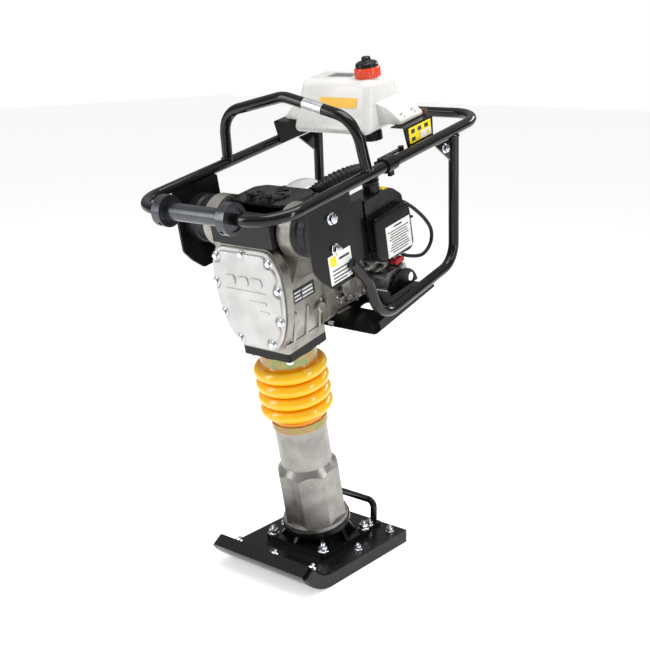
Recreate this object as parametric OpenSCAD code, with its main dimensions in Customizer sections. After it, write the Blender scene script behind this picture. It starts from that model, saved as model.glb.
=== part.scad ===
// Jumping jack rammer: ramming shoe, sprung leg, crank drive, engine and carrying frame.
// Millimetres. +Z up, the toe points to -Y, the origin is on the ground under the leg.
// The leg and everything above it lean forward by "lean". Inside leaning() the axes are
// x = across, y = v = fore and aft, z = w = along the leg.

/* [Stance] */
// Forward lean of the leg and the machine in degrees
lean = 12.25; // [11:0.25:13]

/* [Shoe] */
// Width of the ramming shoe
shoe_w = 285; // [280:1:300]
// Thickness of the shoe with its wear plate
shoe_t = 32; // [30:1:34]
// Heel edge behind the leg
heel_y = 152; // [148:1:160]
// Start of the toe curve in front of the leg
toe_y = 135; // [130:1:140]
// Radius of the sole under the toe
toe_r = 110; // [105:1:115]
// Sweep of the toe curve in degrees
toe_sweep = 57; // [50:1:60]
// Thickness of the steel wear plate
wear_t = 8; // [6:1:10]

/* [Leg] */
// Radius of the rim at the bottom of the leg
rim_r = 77; // [76.5:0.5:79]
// Width across the flats of the eight-sided part
flats_w = 139; // [136:1:140]
// Outer radius of the round part of the leg
leg_r = 60; // [60:0.5:60]
// Radius of the sliding fit between leg and guide
slide_r = 54; // [54:0.5:54]
// Bore of the spring chamber
chamber_r = 48; // [47:0.5:49]
// Height of the rim above the ground along the leg
rim_w = 94; // [93:1:96]
// Height of the shoulder that carries the bellows
shoulder_w = 372; // [370:1:374]

/* [Bellows] */
// Outer radius of the folds
fold_r = 84; // [80:1:88]
// Number of folds
folds = 4; // [4:1:5]
// Distance from fold to fold
fold_pitch = 32; // [24:1:32]

/* [Drive] */
// Height of the crank axis
crank_w = 726; // [726:1:726]
// Throw of the crank pin
crank_throw = 20; // [16:1:20]
// Teeth of the crank gear
gear_teeth = 56; // [56:1:56]
// Teeth of the clutch pinion
pinion_teeth = 10; // [10:1:10]
// Tooth module
tooth_m = 2; // [2:0.5:2]
// Length of the connecting rod
rod_len = 130; // [128:1:132]

/* [Frame] */
// Radius of the frame tube
tube_r = 12; // [12:0.5:12]
// Distance of each rail from the middle
rail_x = 198; // [196:1:202]
// Height of the rails
rail_w = 919; // [917:1:921]
// Front bar, in front of the leg axis
front_v = -184; // [-190:1:-180]
// Rear bar, behind the leg axis
rear_v = 572; // [560:1:590]
// Top of the lifting bow
bow_w = 1076; // [1070:1:1085]

/* [Tank] */
// Height of the tank top
tank_top_w = 1066; // [1060:1:1070]
// Height of the tank bottom
tank_low_w = 955; // [950:1:960]

/* [Hidden] */
$fn = 64;

// Gap between pieces of different bodies, and radial play of running fits
gap = 0.3;
fit = 0.05;

// Colours
black_paint = [0.07, 0.07, 0.07];
cast_silver = [0.72, 0.70, 0.66];
bright_zinc = [0.78, 0.79, 0.80];
yellow_zinc = [0.78, 0.70, 0.38];
steel = [0.55, 0.56, 0.58];
rubber = [0.10, 0.10, 0.10];

// Leg stations along w
octagon_top_w = 252;
octagon_edge_w = 229;
ledge_t = 10;
floor_w = rim_w + 18;
chamber_top_w = 470;
guide_low_w = shoulder_w + 40;
flange_low_w = 547;
flange_top_w = 567;
guide_top_w = 590;
cuff_r = leg_r + 0.3;
cuff_t = 2;
clamp_t = 2.4;
flats_r = flats_w / 2 / cos(22.5);

// Drive stations
pitch_r = tooth_m * gear_teeth / 2;
pinion_r = tooth_m * pinion_teeth / 2;
engine_w = crank_w - pitch_r - pinion_r;
pin_w = crank_w - crank_throw;
small_end_w = pin_w - rod_len;
piston_rod_r = 12;
cup_low_w = small_end_w - 62;
cup_floor_t = 8.5;
cup_top_w = small_end_w + 24;
head_w = 285;
head_t = 15;
crank_shaft_r = 12.5;
pinion_shaft_r = 8;
engine_shaft_r = 10;
web_v = 14;
web_t = 20;

// Crankcase stations along v
case_front_v = -79;
case_rear_v = 58;
rear_bearing_v = 40;
bolt_face_v = -86;
panel_v = -92;
base_x = 68;
base_v = [-68, 62];

// Centre of the ears and rubber mounts
ear_v = -8;
ear_w = 834;
ear_r = 58;
ear_x = [88, 122];
plate_x = [183, 189];

// Outline of the front cover, right half from the bottom, as [x, w]
cover_half = [[52, 580], [76, 612], [92, 662], [97, 716], [94, 770], [72, 808]];
cover_bolt_half = [[46, 597], [81, 654], [88, 726], [75, 786]];

// ---------- helpers ----------

module leaning() { rotate([lean, 0, 0]) children(); }
module along_x(x, v, w) { translate([x, v, w]) rotate([0, 90, 0]) children(); }
module along_v(x, v, w) { translate([x, v, w]) rotate([-90, 0, 0]) children(); }
module both_sides() { children(); mirror([1, 0, 0]) children(); }

// Plate with an outline of [y, z] points, from x on, t thick
module slab_x(x, t) { translate([x, 0, 0]) rotate([90, 0, 90]) linear_extrude(t) children(); }
// Plate with an outline of [x, z] points, from y on, t thick
module slab_y(y, t) {
    translate([0, y + t, 0]) rotate([90, 0, 0]) linear_extrude(t) children();
}
// Plate with an outline of [x, y] points
module slab_z(z, t) { translate([0, 0, z]) linear_extrude(t) children(); }

function unit(a) = a / norm(a);
function mirrored(half) = concat(half, [for (i = [len(half) - 1:-1:0]) [-half[i][0], half[i][1]]]);
function scaled(pts, mid, k) = [for (p = pts) mid + (p - mid) * k];

// Outline with every corner rounded by a curve that starts r from the corner
function rounded(pts, r, n = 5) = [
    for (i = [0:len(pts) - 1])
        let (p = pts[i], a = pts[(i + len(pts) - 1) % len(pts)], b = pts[(i + 1) % len(pts)])
        let (ra = min(r, norm(a - p) * 0.45), rb = min(r, norm(b - p) * 0.45))
        let (s = p + unit(a - p) * ra, e = p + unit(b - p) * rb)
        for (k = [0:n]) let (t = k / n) s * (1 - t) * (1 - t) + p * 2 * t * (1 - t) + e * t * t
];
function box_outline(x0, y0, x1, y1) = [[x0, y0], [x1, y0], [x1, y1], [x0, y1]];

// Part of a ring between two angles, measured from straight down towards -y
module ring_sector(r_in, r_out, a) {
    reach = r_out * 2;
    intersection() {
        difference() {
            circle(r = r_out);
            circle(r = r_in);
        }
        polygon([[0, 0], [0, -reach], [-reach * tan(a / 2), -reach],
                 [-reach * sin(a), -reach * cos(a)]]);
    }
}

function turn(a, p, b) = let (u = unit(p - a), w = unit(b - p))
    atan2(u[0] * w[1] - u[1] * w[0], u[0] * w[0] + u[1] * w[1]);

// Tube of radius r along a flat path of [x, y] points, bent to bend_r at each inner point
module bent_tube(pts, bend_r, r, closed = false) {
    n = len(pts);
    last = closed ? n - 1 : n - 2;
    angle = [for (i = [0:n - 1]) (closed || (i > 0 && i < n - 1))
        ? turn(pts[(i + n - 1) % n], pts[i], pts[(i + 1) % n]) : 0];
    cut = [for (q = angle) bend_r * tan(abs(q) / 2)];
    for (i = [0:last]) {
        a = pts[i];
        b = pts[(i + 1) % n];
        d = unit(b - a);
        s = a + d * cut[i];
        straight = norm(b - a) - cut[i] - cut[(i + 1) % n];
        translate([s[0], s[1], 0]) rotate([0, 0, atan2(d[1], d[0])]) rotate([0, 90, 0])
            cylinder(h = straight, r = r);
    }
    for (i = [0:n - 1]) if (abs(angle[i]) > 0.01) {
        d = unit(pts[i] - pts[(i + n - 1) % n]);
        side = angle[i] > 0 ? 1 : -1;
        s = pts[i] - d * cut[i];
        mid = s + [-d[1], d[0]] * bend_r * side;
        start = atan2(s[1] - mid[1], s[0] - mid[0]);
        translate([mid[0], mid[1], 0]) rotate([0, 0, angle[i] > 0 ? start : start + angle[i]])
            rotate_extrude(angle = abs(angle[i])) translate([bend_r, 0]) circle(r = r);
    }
}

// Round sweep with "sides" sides through a list of points; z_ref keeps the rings upright
function ring_points(p, d, r, sides, z_ref) = let (u = unit(cross(d, z_ref)), v = cross(u, d))
    [for (k = [0:sides - 1]) p + (u * cos(360 * k / sides) + v * sin(360 * k / sides)) * r];
module sweep(pts, radii, sides, z_ref = [0, 0, 1]) {
    n = len(pts);
    dirs = [for (i = [0:n - 1]) unit(pts[min(i + 1, n - 1)] - pts[max(i - 1, 0)])];
    rings = [for (i = [0:n - 1]) for (q = ring_points(pts[i], dirs[i], radii[i], sides, z_ref)) q];
    walls = [for (i = [0:n - 2]) for (k = [0:sides - 1])
        [i * sides + k, i * sides + (k + 1) % sides,
         (i + 1) * sides + (k + 1) % sides, (i + 1) * sides + k]];
    ends = [[for (k = [sides - 1:-1:0]) k], [for (k = [0:sides - 1]) (n - 1) * sides + k]];
    polyhedron(points = rings, faces = concat(walls, ends));
}
// Smooth route through hand-set points, "steps" points for each stretch
function route(p, steps) = concat([
    for (i = [0:len(p) - 2])
        let (a = p[max(i - 1, 0)], b = p[i], c = p[i + 1], d = p[min(i + 2, len(p) - 1)])
        for (k = [0:steps - 1]) let (t = k / steps)
            (b * 2 + (c - a) * t + (a * 2 - b * 5 + c * 4 - d) * t * t
             + (b * 3 - a - c * 3 + d) * t * t * t) / 2
], [p[len(p) - 1]]);

// Route through corner points with every inner corner rounded to radius r
function arc_route(p, r, n = 7) = concat([p[0]], [
    for (i = [1:len(p) - 2])
        let (a = unit(p[i - 1] - p[i]), b = unit(p[i + 1] - p[i]), half = acos(a * b) / 2)
        let (mid = p[i] + unit(a + b) * r / sin(half), q = 180 - 2 * half)
        let (s = p[i] + a * r / tan(half) - mid, e = p[i] + b * r / tan(half) - mid)
        for (k = [0:n]) mid + (s * sin(q * (1 - k / n)) + e * sin(q * k / n)) / sin(q)
], [p[len(p) - 1]]);

// Coil spring about the leg axis between two heights
module coil(r, wire, w0, w1, turns, per_turn = 14) {
    n = round(turns * per_turn);
    rise = w1 - w0 - wire;
    pts = [for (i = [0:n]) [r * cos(360 * i / per_turn), r * sin(360 * i / per_turn),
                            w0 + wire / 2 + rise * i / n]];
    sweep(pts, [for (i = [0:n]) wire / 2], 6);
}

// Gear blank outline with straight-sided teeth; the first tooth points to +y
module gear_outline(teeth, m) {
    r = teeth * m / 2;
    step = 360 / teeth;
    flank = [[-0.30, -0.8], [-0.12, 0.55], [0.12, 0.55], [0.30, -0.8]];
    polygon([for (i = [0:teeth - 1]) for (f = flank)
        let (a = 90 - (i + f[0]) * step, q = r + f[1] * m) [q * cos(a), q * sin(a)]]);
}

module hex_head(r, h) { cylinder(h = h, r = r, $fn = 6); }
// Stud end, nut and washer standing on z = 0
module stud_nut(m) {
    cylinder(h = m * 0.2, r = m * 1.15);
    translate([0, 0, m * 0.2]) hex_head(m * 0.98, m * 0.85);
    translate([0, 0, m]) cylinder(h = m * 0.75, r = m * 0.48);
}

// ---------- shoe ----------

toe_mid = [-toe_y, toe_r];
plate_in_r = toe_r - wear_t;
core_in_r = toe_r - shoe_t;
wear_w = shoe_w - 17;
rim_lift = 1;

module wear_plate() {
    color(black_paint) slab_x(-wear_w / 2, wear_w) {
        polygon(box_outline(-toe_y, 0, heel_y, wear_t));
        translate(toe_mid) ring_sector(plate_in_r, toe_r, toe_sweep);
        // lip folded back over the end of the core
        translate(toe_mid) rotate(-toe_sweep)
            polygon(box_outline(-6, -toe_r + 0.2, 0, -core_in_r - 1));
    }
}

module shoe_core() {
    color(black_paint) {
        slab_x(-wear_w / 2, wear_w) {
            polygon(box_outline(-toe_y, wear_t, heel_y, shoe_t));
            translate(toe_mid) ring_sector(core_in_r, plate_in_r, toe_sweep);
        }
        both_sides() slab_x(wear_w / 2, (shoe_w - wear_w) / 2) {
            polygon(box_outline(-toe_y, rim_lift, heel_y, shoe_t));
            translate(toe_mid) ring_sector(core_in_r, toe_r - rim_lift, toe_sweep);
        }
    }
}

toe_bolt_a = 30;
side_bolt_x = 114;
flange_bolt = [76, 77];
flange_mid_y = -11;
flange_t = 16;
flange_top_z = shoe_t + flange_t;
handle_nut = [64, 106];

module shoe_bolts() {
    color(bright_zinc) {
        for (x = [-112, 0, 112])
            translate([x, toe_mid[0], toe_mid[1]]) rotate([-toe_bolt_a, 0, 0])
                translate([0, 0, 1 - core_in_r]) stud_nut(10);
        for (s = [-1, 1], y = [-5, 121]) translate([s * side_bolt_x, y, shoe_t]) stud_nut(9);
        for (s = [-1, 1], t = [-1, 1])
            translate([s * flange_bolt[0], flange_mid_y + t * flange_bolt[1], flange_top_z])
                stud_nut(12);
        for (s = [-1, 1])
            translate([s * handle_nut[0], handle_nut[1], shoe_t + 8]) stud_nut(9);
    }
}

collar_r = 80;
flange_half = [90, 91];
module foot_flange() {
    color(black_paint) intersection() {
        union() {
            slab_z(shoe_t, flange_t) translate([0, flange_mid_y])
                polygon(rounded(box_outline(-flange_half[0], -flange_half[1],
                                            flange_half[0], flange_half[1]), 12));
            leaning() {
                cylinder(h = rim_w - 12, r = 66);
                translate([0, 0, rim_w - 30]) cylinder(h = 18, r1 = 66, r2 = collar_r);
                translate([0, 0, rim_w - 12]) cylinder(h = 12, r = collar_r);
            }
            // ribs from the collar to the plate
            for (a = [0:45:315]) translate([0, flange_mid_y, 0]) rotate(a)
                slab_y(-4, 8) polygon([[40, shoe_t + 2], [88, shoe_t + 2], [88, shoe_t + 18],
                                       [68, 78], [40, 78]]);
        }
        translate([-100, -120, shoe_t]) cube([200, 220, 100]);
        leaning() translate([0, 0, -40]) cylinder(h = rim_w + 40, r = 150);
    }
}

heel_bar_x = 62;
heel_bar_z = 95;
heel_bar_y = 126;
heel_rod_r = 8;
module heel_handle() {
    color(black_paint) {
        translate([0, heel_bar_y, 0]) rotate([90, 0, 0])
            bent_tube([[-heel_bar_x, shoe_t + 8], [-heel_bar_x, heel_bar_z],
                       [heel_bar_x, heel_bar_z], [heel_bar_x, shoe_t + 8]], 18, heel_rod_r);
        both_sides() slab_z(shoe_t, 8)
            polygon(rounded(box_outline(heel_bar_x - 12, 92, heel_bar_x + 14, 140), 6));
    }
}

// ---------- leg ----------

module spring_cylinder() {
    color(cast_silver) leaning() difference() {
        union() {
            translate([0, 0, rim_w]) cylinder(h = ledge_t, r = rim_r);
            intersection() {
                translate([0, 0, rim_w + ledge_t]) rotate(22.5)
                    cylinder(h = octagon_top_w - rim_w - ledge_t, r = flats_r, $fn = 8);
                rotate_extrude() polygon([[0, rim_w], [flats_r + 1, rim_w],
                    [flats_r + 1, octagon_edge_w], [leg_r - 1, octagon_top_w + 1.5],
                    [0, octagon_top_w + 1.5]]);
            }
            translate([0, 0, octagon_edge_w]) cylinder(h = shoulder_w - octagon_edge_w, r = leg_r);
            translate([0, 0, shoulder_w - 5])
                cylinder(h = chamber_top_w - shoulder_w + 5, r = slide_r - fit);
        }
        translate([0, 0, floor_w]) cylinder(h = chamber_top_w, r = chamber_r);
    }
}

module cylinder_gland() {
    color(steel) leaning() difference() {
        union() {
            translate([0, 0, chamber_top_w - 14]) cylinder(h = 14, r = chamber_r);
            translate([0, 0, chamber_top_w]) cylinder(h = 8, r = slide_r - 1);
        }
        translate([0, 0, chamber_top_w - 20]) cylinder(h = 40, r = piston_rod_r + fit);
    }
}

// Round band with its clamping screw at the back
module clamp_ring(w0, w1) {
    r = cuff_r + cuff_t;
    translate([0, 0, w0]) difference() {
        union() {
            cylinder(h = w1 - w0, r = r + clamp_t);
            translate([-11, r - 1, (w1 - w0) / 2 - 6]) cube([22, 11, 12]);
        }
        translate([0, 0, -1]) cylinder(h = w1 - w0 + 2, r = r + fit);
        translate([-1.5, r - 2, -1]) cube([3, 20, w1 - w0 + 2]);
    }
    translate([0, r + 6, (w1 - w0) / 2 + w0]) rotate([0, 90, 0])
        cylinder(h = 34, r = 3, center = true);
}
lower_clamp = [355, 371];
upper_clamp = [519, 543];
module lower_clamp_ring() { color(yellow_zinc) leaning() clamp_ring(lower_clamp[0], lower_clamp[1]); }
module upper_clamp_ring() { color(yellow_zinc) leaning() clamp_ring(upper_clamp[0], upper_clamp[1]); }

// Wall of the bellows: a wave of half-round folds between two straight cuffs
fold_low_w = 386;
fold_deep_r = 68;
bellow_wall = 2.5;
function wave_r(w, out) = let (s = abs(sin(180 * (w - fold_low_w) / fold_pitch)))
    fold_deep_r + (fold_r - fold_deep_r) * pow(s, 0.6) - (out ? 0 : bellow_wall);
fold_high_w = fold_low_w + folds * fold_pitch;
module bellows() {
    color([1.0, 0.72, 0.05]) leaning() rotate_extrude() {
        steps = folds * 10;
        outer = [for (i = [0:steps]) let (w = fold_low_w + (fold_high_w - fold_low_w) * i / steps)
            [wave_r(w, true), w]];
        inner = [for (i = [steps:-1:0]) let (w = fold_low_w + (fold_high_w - fold_low_w) * i / steps)
            [wave_r(w, false), w]];
        polygon(concat([[cuff_r, lower_clamp[0] - 3], [cuff_r + cuff_t, lower_clamp[0] - 3],
                        [cuff_r + cuff_t, lower_clamp[1] + 5]], outer,
                       [[cuff_r + cuff_t, fold_high_w + 2], [cuff_r + cuff_t, upper_clamp[1]],
                        [cuff_r, upper_clamp[1]], [cuff_r, fold_high_w + 1]], inner,
                       [[cuff_r, lower_clamp[1] + 6]]));
    }
}

spring_out = [40, 9];
spring_in = [25, 6];
module lower_springs() {
    color(steel) leaning() {
        coil(spring_out[0], spring_out[1], floor_w + gap, head_w - gap, 7);
        coil(spring_in[0], spring_in[1], floor_w + gap, head_w - gap, 9, 12);
    }
}
module upper_springs() {
    color(steel) leaning() {
        coil(spring_out[0], spring_out[1], head_w + head_t + gap, chamber_top_w - 14 - gap, 6.5);
        coil(spring_in[0], spring_in[1], head_w + head_t + gap, chamber_top_w - 14 - gap, 8, 12);
    }
}

// ---------- guide and crankcase ----------

module guide_cylinder() {
    color(yellow_zinc) leaning() difference() {
        translate([0, 0, guide_low_w]) cylinder(h = guide_top_w - guide_low_w, r = leg_r);
        translate([0, 0, guide_low_w - 1])
            cylinder(h = guide_top_w - guide_low_w + 2, r = slide_r);
    }
}

base_outline = rounded(box_outline(-base_x, base_v[0], base_x, base_v[1]), 8);
flange_screw_at = [[-56, -56], [56, -56], [56, 50], [-56, 50]];
module mounting_flange() {
    color(black_paint) leaning() difference() {
        slab_z(flange_low_w, flange_top_w - flange_low_w) polygon(base_outline);
        translate([0, 0, flange_low_w - 1]) cylinder(h = 40, r = leg_r + fit);
        for (p = flange_screw_at) translate([p[0], p[1], flange_low_w - 1]) cylinder(h = 40, r = 5.5);
    }
}

cover_mid = [0, 700];
cover_pts = mirrored(cover_half);
module cover_outline(k) { polygon(rounded(scaled(cover_pts, cover_mid, k), 16)); }
cover_bolts_at = concat([[0, 798]], cover_bolt_half, [for (p = cover_bolt_half) [-p[0], p[1]]]);

clutch_face = [[-98, 614], [-76, 591], [76, 591], [98, 614], [101, 640], [96, 680], [70, 706],
               [-70, 706], [-96, 680], [-101, 640]];
module crankcase() {
    color(cast_silver) leaning() difference() {
        union() {
            // front flange, body, foot and rear flange
            slab_y(case_front_v, 20) cover_outline(1.04);
            slab_y(case_front_v + 10, case_rear_v - case_front_v - 10) cover_outline(0.94);
            slab_z(flange_top_w, 22) polygon(base_outline);
            slab_y(case_rear_v - 12, 12) polygon(rounded(clutch_face, 14));
            // ears for the rubber mounts and the webs that carry them
            both_sides() {
                along_x(ear_x[0], ear_v, ear_w) cylinder(h = ear_x[1] - ear_x[0], r = ear_r);
                slab_y(-44, 78) polygon([[88, ear_w], [ear_x[1], ear_w], [ear_x[1], 792],
                                         [90, 724], [70, 724], [70, 780], [88, 806]]);
            }
        }
        // gear chamber, open to the front
        slab_y(case_front_v - 1, 123) cover_outline(0.84);
        translate([0, 0, flange_top_w - 1])
            cylinder(h = guide_top_w + 1 - flange_top_w, r = leg_r + fit);
        translate([0, 0, guide_top_w - 1]) cylinder(h = 60, r = slide_r + 1);
        for (p = flange_screw_at) translate([p[0], p[1], flange_top_w - 1]) cylinder(h = 20, r = 5.1);
        along_v(0, 0, crank_w) cylinder(h = rear_bearing_v + 14, r = 26.05);
        along_v(0, 0, engine_w) cylinder(h = 100, r = 20.05);
        for (p = cover_bolts_at) along_v(p[0], case_front_v - 1, p[1]) cylinder(h = 15, r = 4.1);
        // lightening pockets in the outer faces of the ears
        both_sides() along_x(ear_x[1] - 4, ear_v, ear_w) cylinder(h = 10, r = 30);
    }
}

module crankcase_cover() {
    color([0.86, 0.86, 0.85]) leaning() difference() {
        union() {
            slab_y(bolt_face_v, case_front_v - bolt_face_v) cover_outline(1);
            slab_y(panel_v, 8) cover_outline(0.93);
            along_v(0, case_front_v - 1, crank_w) cylinder(h = 16, r = 33);
        }
        along_v(0, case_front_v + 1, crank_w) cylinder(h = 20, r = 26.05);
        for (p = cover_bolts_at) {
            along_v(p[0], panel_v - 10, p[1]) cylinder(h = 60, r = 4.5);
            along_v(p[0], panel_v - 10, p[1]) cylinder(h = 10 + bolt_face_v - panel_v, r = 12);
        }
    }
}

module case_bolts() {
    color(bright_zinc) leaning() {
        for (p = cover_bolts_at) along_v(p[0], bolt_face_v, p[1]) {
            cylinder(h = 18, r = 4);
            translate([0, 0, -1.5]) cylinder(h = 1.5, r = 9);
            translate([0, 0, -7.5]) hex_head(7.5, 6);
        }
        for (p = flange_screw_at) translate([p[0], p[1], flange_low_w]) {
            cylinder(h = 34, r = 5);
            translate([0, 0, -7]) hex_head(9, 7);
        }
    }
}

module rubber_mounts() {
    color(rubber) leaning() both_sides() {
        long = plate_x[0] - ear_x[1] - gap;
        along_x(ear_x[1], ear_v, ear_w) rotate_extrude() polygon([[0, 0], [54, 0], [54, 8],
            [50, 14], [50, 30], [53, 36], [53, long], [0, long]]);
        along_x(ear_x[1] - 4, ear_v, ear_w) cylinder(h = 4.5, r = 29.5);
    }
}

// Ball bearings: crank front and rear, pinion shaft
module race(r_in, r_out, h) {
    difference() {
        cylinder(h = h, r = r_out);
        translate([0, 0, -1]) cylinder(h = h + 2, r = r_in + fit);
    }
}
module shaft_bearings() {
    color(steel) leaning() {
        along_v(0, case_front_v + 1, crank_w) race(crank_shaft_r, 26, 14);
        along_v(0, rear_bearing_v, crank_w) race(crank_shaft_r, 26, 14);
        along_v(0, case_rear_v - 14, engine_w) race(pinion_shaft_r, 20, 14);
    }
}

// ---------- drive ----------

module crank_gear() {
    color(steel) leaning() {
        along_v(0, web_v, crank_w) rotate(180 / gear_teeth)
            linear_extrude(web_t) gear_outline(gear_teeth, tooth_m);
        along_v(0, web_v + web_t - 1, crank_w) cylinder(h = 6, r = 18);
        along_v(0, web_v + web_t, crank_w)
            cylinder(h = rear_bearing_v + 13 - web_v - web_t, r = crank_shaft_r);
        along_v(0, -web_v, pin_w) cylinder(h = 2 * web_v + 1, r = 10);
        along_v(0, -web_v - 14, crank_w) cylinder(h = 14, r = 38);
        along_v(0, case_front_v + 2, crank_w)
            cylinder(h = -case_front_v - 2 - web_v - 13, r = crank_shaft_r);
    }
}

module con_rod() {
    color(steel) leaning() difference() {
        union() {
            along_v(0, -9, pin_w) cylinder(h = 18, r = 18);
            along_v(0, -9, small_end_w) cylinder(h = 18, r = 13);
            slab_y(-6, 12) polygon([[-8, small_end_w], [8, small_end_w], [11, pin_w], [-11, pin_w]]);
        }
        along_v(0, -20, pin_w) cylinder(h = 40, r = 10 + fit);
        along_v(0, -20, small_end_w) cylinder(h = 40, r = 7);
    }
}

module piston_pin() {
    color(bright_zinc) leaning() along_v(0, -28, small_end_w) cylinder(h = 56, r = 7);
}

module drive_piston() {
    color(steel) leaning() {
        difference() {
            translate([0, 0, cup_low_w]) cylinder(h = cup_top_w - cup_low_w, r = slide_r - fit);
            translate([0, 0, cup_low_w + cup_floor_t]) cylinder(h = 90, r = 46);
        }
        translate([0, 0, head_w]) cylinder(h = cup_low_w - head_w + 1, r = piston_rod_r);
        translate([0, 0, head_w]) cylinder(h = head_t, r = chamber_r - fit);
    }
}

drum_r = 45;
drum_v = [64, 100];
module clutch_drum() {
    color(steel) leaning() {
        along_v(0, web_v, engine_w) linear_extrude(web_t) gear_outline(pinion_teeth, tooth_m);
        along_v(0, web_v, engine_w) cylinder(h = drum_v[0] - web_v + 1, r = pinion_shaft_r);
        along_v(0, drum_v[0], engine_w) difference() {
            cylinder(h = drum_v[1] - drum_v[0], r = drum_r);
            translate([0, 0, 5]) cylinder(h = 60, r = drum_r - 4);
        }
    }
}

fan_v = [236, 270];
module engine_shaft() {
    color(steel) leaning() {
        along_v(0, 74, engine_w) cylinder(h = fan_v[1] - 8 - 74, r = engine_shaft_r);
        // clutch shoes, two half discs on a hub
        along_v(0, 76, engine_w) cylinder(h = 20, r = 16);
        for (s = [0, 180]) along_v(0, 77, engine_w) rotate(s) linear_extrude(17)
            intersection() {
                circle(r = drum_r - 5.5);
                translate([-30, 4]) square([60, 60]);
            }
        // crank webs and pin
        for (v = [132, 168]) along_v(0, v, engine_w) cylinder(h = 12, r = 34);
        along_v(0, 140, engine_w + 20) cylinder(h = 34, r = 9);
        // flywheel with its fan blades
        along_v(0, fan_v[0] + 4, engine_w) {
            cylinder(h = 10, r = 56);
            for (a = [0:30:330]) rotate(a) translate([30, -1.5, 9]) cube([26, 3, 12]);
        }
    }
}

// ---------- engine ----------

module clutch_housing() {
    color(cast_silver) leaning() difference() {
        slab_y(case_rear_v, 18) polygon(rounded(clutch_face, 14));
        along_v(0, case_rear_v - 1, engine_w) cylinder(h = 40, r = drum_r + 3);
    }
}

block_v = [76, 236];
block_low_w = engine_w - 64;
module engine_block() {
    color(cast_silver) leaning() difference() {
        union() {
            slab_y(block_v[0], block_v[1] - block_v[0]) polygon(rounded([
                [-74, block_low_w], [74, block_low_w], [86, block_low_w + 14],
                [86, engine_w + 24], [68, engine_w + 28], [58, engine_w + 44],
                [-58, engine_w + 44], [-68, engine_w + 28], [-86, engine_w + 24],
                [-86, block_low_w + 14]], 8));
            // side cover and cooling ribs
            along_x(80, 150, engine_w) cylinder(h = 12, r = 38);
            for (v = [90, 200]) translate([84, v, block_low_w + 16]) cube([6, 4, 44]);
        }
        along_v(0, block_v[0] - 1, engine_w) cylinder(h = 29, r = drum_r + 3);
        along_v(0, 116, engine_w) cylinder(h = 80, r = 42);
        along_v(0, 60, engine_w) cylinder(h = 200, r = engine_shaft_r + fit);
    }
}

module cylinder_barrel() {
    color(cast_silver) leaning() {
        low = engine_w + 44;
        translate([0, 156, low]) cylinder(h = 96, r = 38);
        for (i = [0:8]) slab_z(low + 6 + i * 10, 4)
            polygon(rounded(box_outline(-56, 104, 56, 208), 14));
        slab_z(low + 96, 28) polygon(rounded(box_outline(-50, 108, 50, 204), 12));
    }
}

module engine_shroud() {
    color(black_paint) leaning() difference() {
        slab_x(-112, 240) polygon(rounded([[90, 712], [90, 800], [112, 846], [200, 846],
                                           [220, 820], [220, 712]], 12));
        slab_x(-106, 228) polygon(rounded([[94, 640], [94, 798], [115, 842], [198, 842],
                                           [216, 818], [216, 640]], 10));
        // the +x side is open where the air cleaner stands
        translate([62, 170, 600]) cube([100, 100, 260]);
    }
}

module fan_housing() {
    color(black_paint) leaning() difference() {
        along_v(0, fan_v[0], engine_w) cylinder(h = fan_v[1] - fan_v[0], r = 68);
        along_v(0, fan_v[0] + 2, engine_w) cylinder(h = 60, r = 62);
        along_v(0, fan_v[0] - 1, engine_w) cylinder(h = 20, r = engine_shaft_r + 1);
    }
}

module recoil_cover() {
    color(black_paint) leaning() difference() {
        along_v(0, fan_v[1], engine_w) union() {
            cylinder(h = 14, r = 68);
            cylinder(h = 30, r = 50);
        }
        along_v(0, fan_v[1] - 1, engine_w) cylinder(h = 11, r = 60);
        along_v(0, fan_v[1] - 1, engine_w) cylinder(h = 27, r = 44);
        for (a = [0:30:330]) along_v(0, fan_v[1] - 1, engine_w) rotate(a)
            translate([53, -3, 0]) cube([10, 6, 30]);
        along_v(-20, fan_v[1] + 20, engine_w + 20) cylinder(h = 20, r = 5);
    }
}

grip_v = fan_v[1] + 44;
module starter_grip() {
    color(black_paint) leaning() {
        along_v(-20, fan_v[1] + 27, engine_w + 20) cylinder(h = grip_v - fan_v[1] - 26, r = 2);
        along_v(-20, fan_v[1] + 30 + gap, engine_w + 20) cylinder(h = 14, r1 = 8, r2 = 6);
        along_x(-56, grip_v + 4, engine_w + 20) cylinder(h = 72, r = 9);
    }
}

module muffler() {
    color(steel) leaning() {
        slab_x(94, 44) polygon(rounded(box_outline(206, 606, 258, 652), 12));
        along_x(86 + gap, 230, 640) cylinder(h = 10, r = 12);
    }
}

guard_mid = [262, 590];
module muffler_guard() {
    color(black_paint) leaning() difference() {
        slab_x(142, 3) difference() {
            translate(guard_mid) circle(r = 54);
            polygon(box_outline(200, 520, 330, 600));
            translate([292, 615]) circle(r = 11);
            for (a = [0:60:300]) translate([240, 612]) rotate(a)
                translate([2, -1.2]) square([9, 2.4]);
        }
    }
    color(black_paint) leaning() for (v = [226, 250]) along_x(138, v, 626) cylinder(h = 4.5, r = 4);
}

tap_at = [278, 640];
module carburettor() {
    color(steel) leaning() {
        slab_x(88, 34) polygon(rounded(box_outline(196, 660, 240, 686), 6));
        along_x(100, tap_at[0], tap_at[1]) cylinder(h = 34, r = 14);
        slab_x(92, 12) polygon([[236, 660], [236, 686], [280, 686], [290, 650], [290, 632],
                                [266, 632], [266, 660]]);
    }
}

module choke_lever() {
    color(black_paint) leaning() {
        along_x(122 + gap, 210, 672) cylinder(h = 8, r = 5);
        slab_x(126, 3) polygon(rounded(box_outline(176, 669, 212, 675), 2));
    }
}

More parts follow.
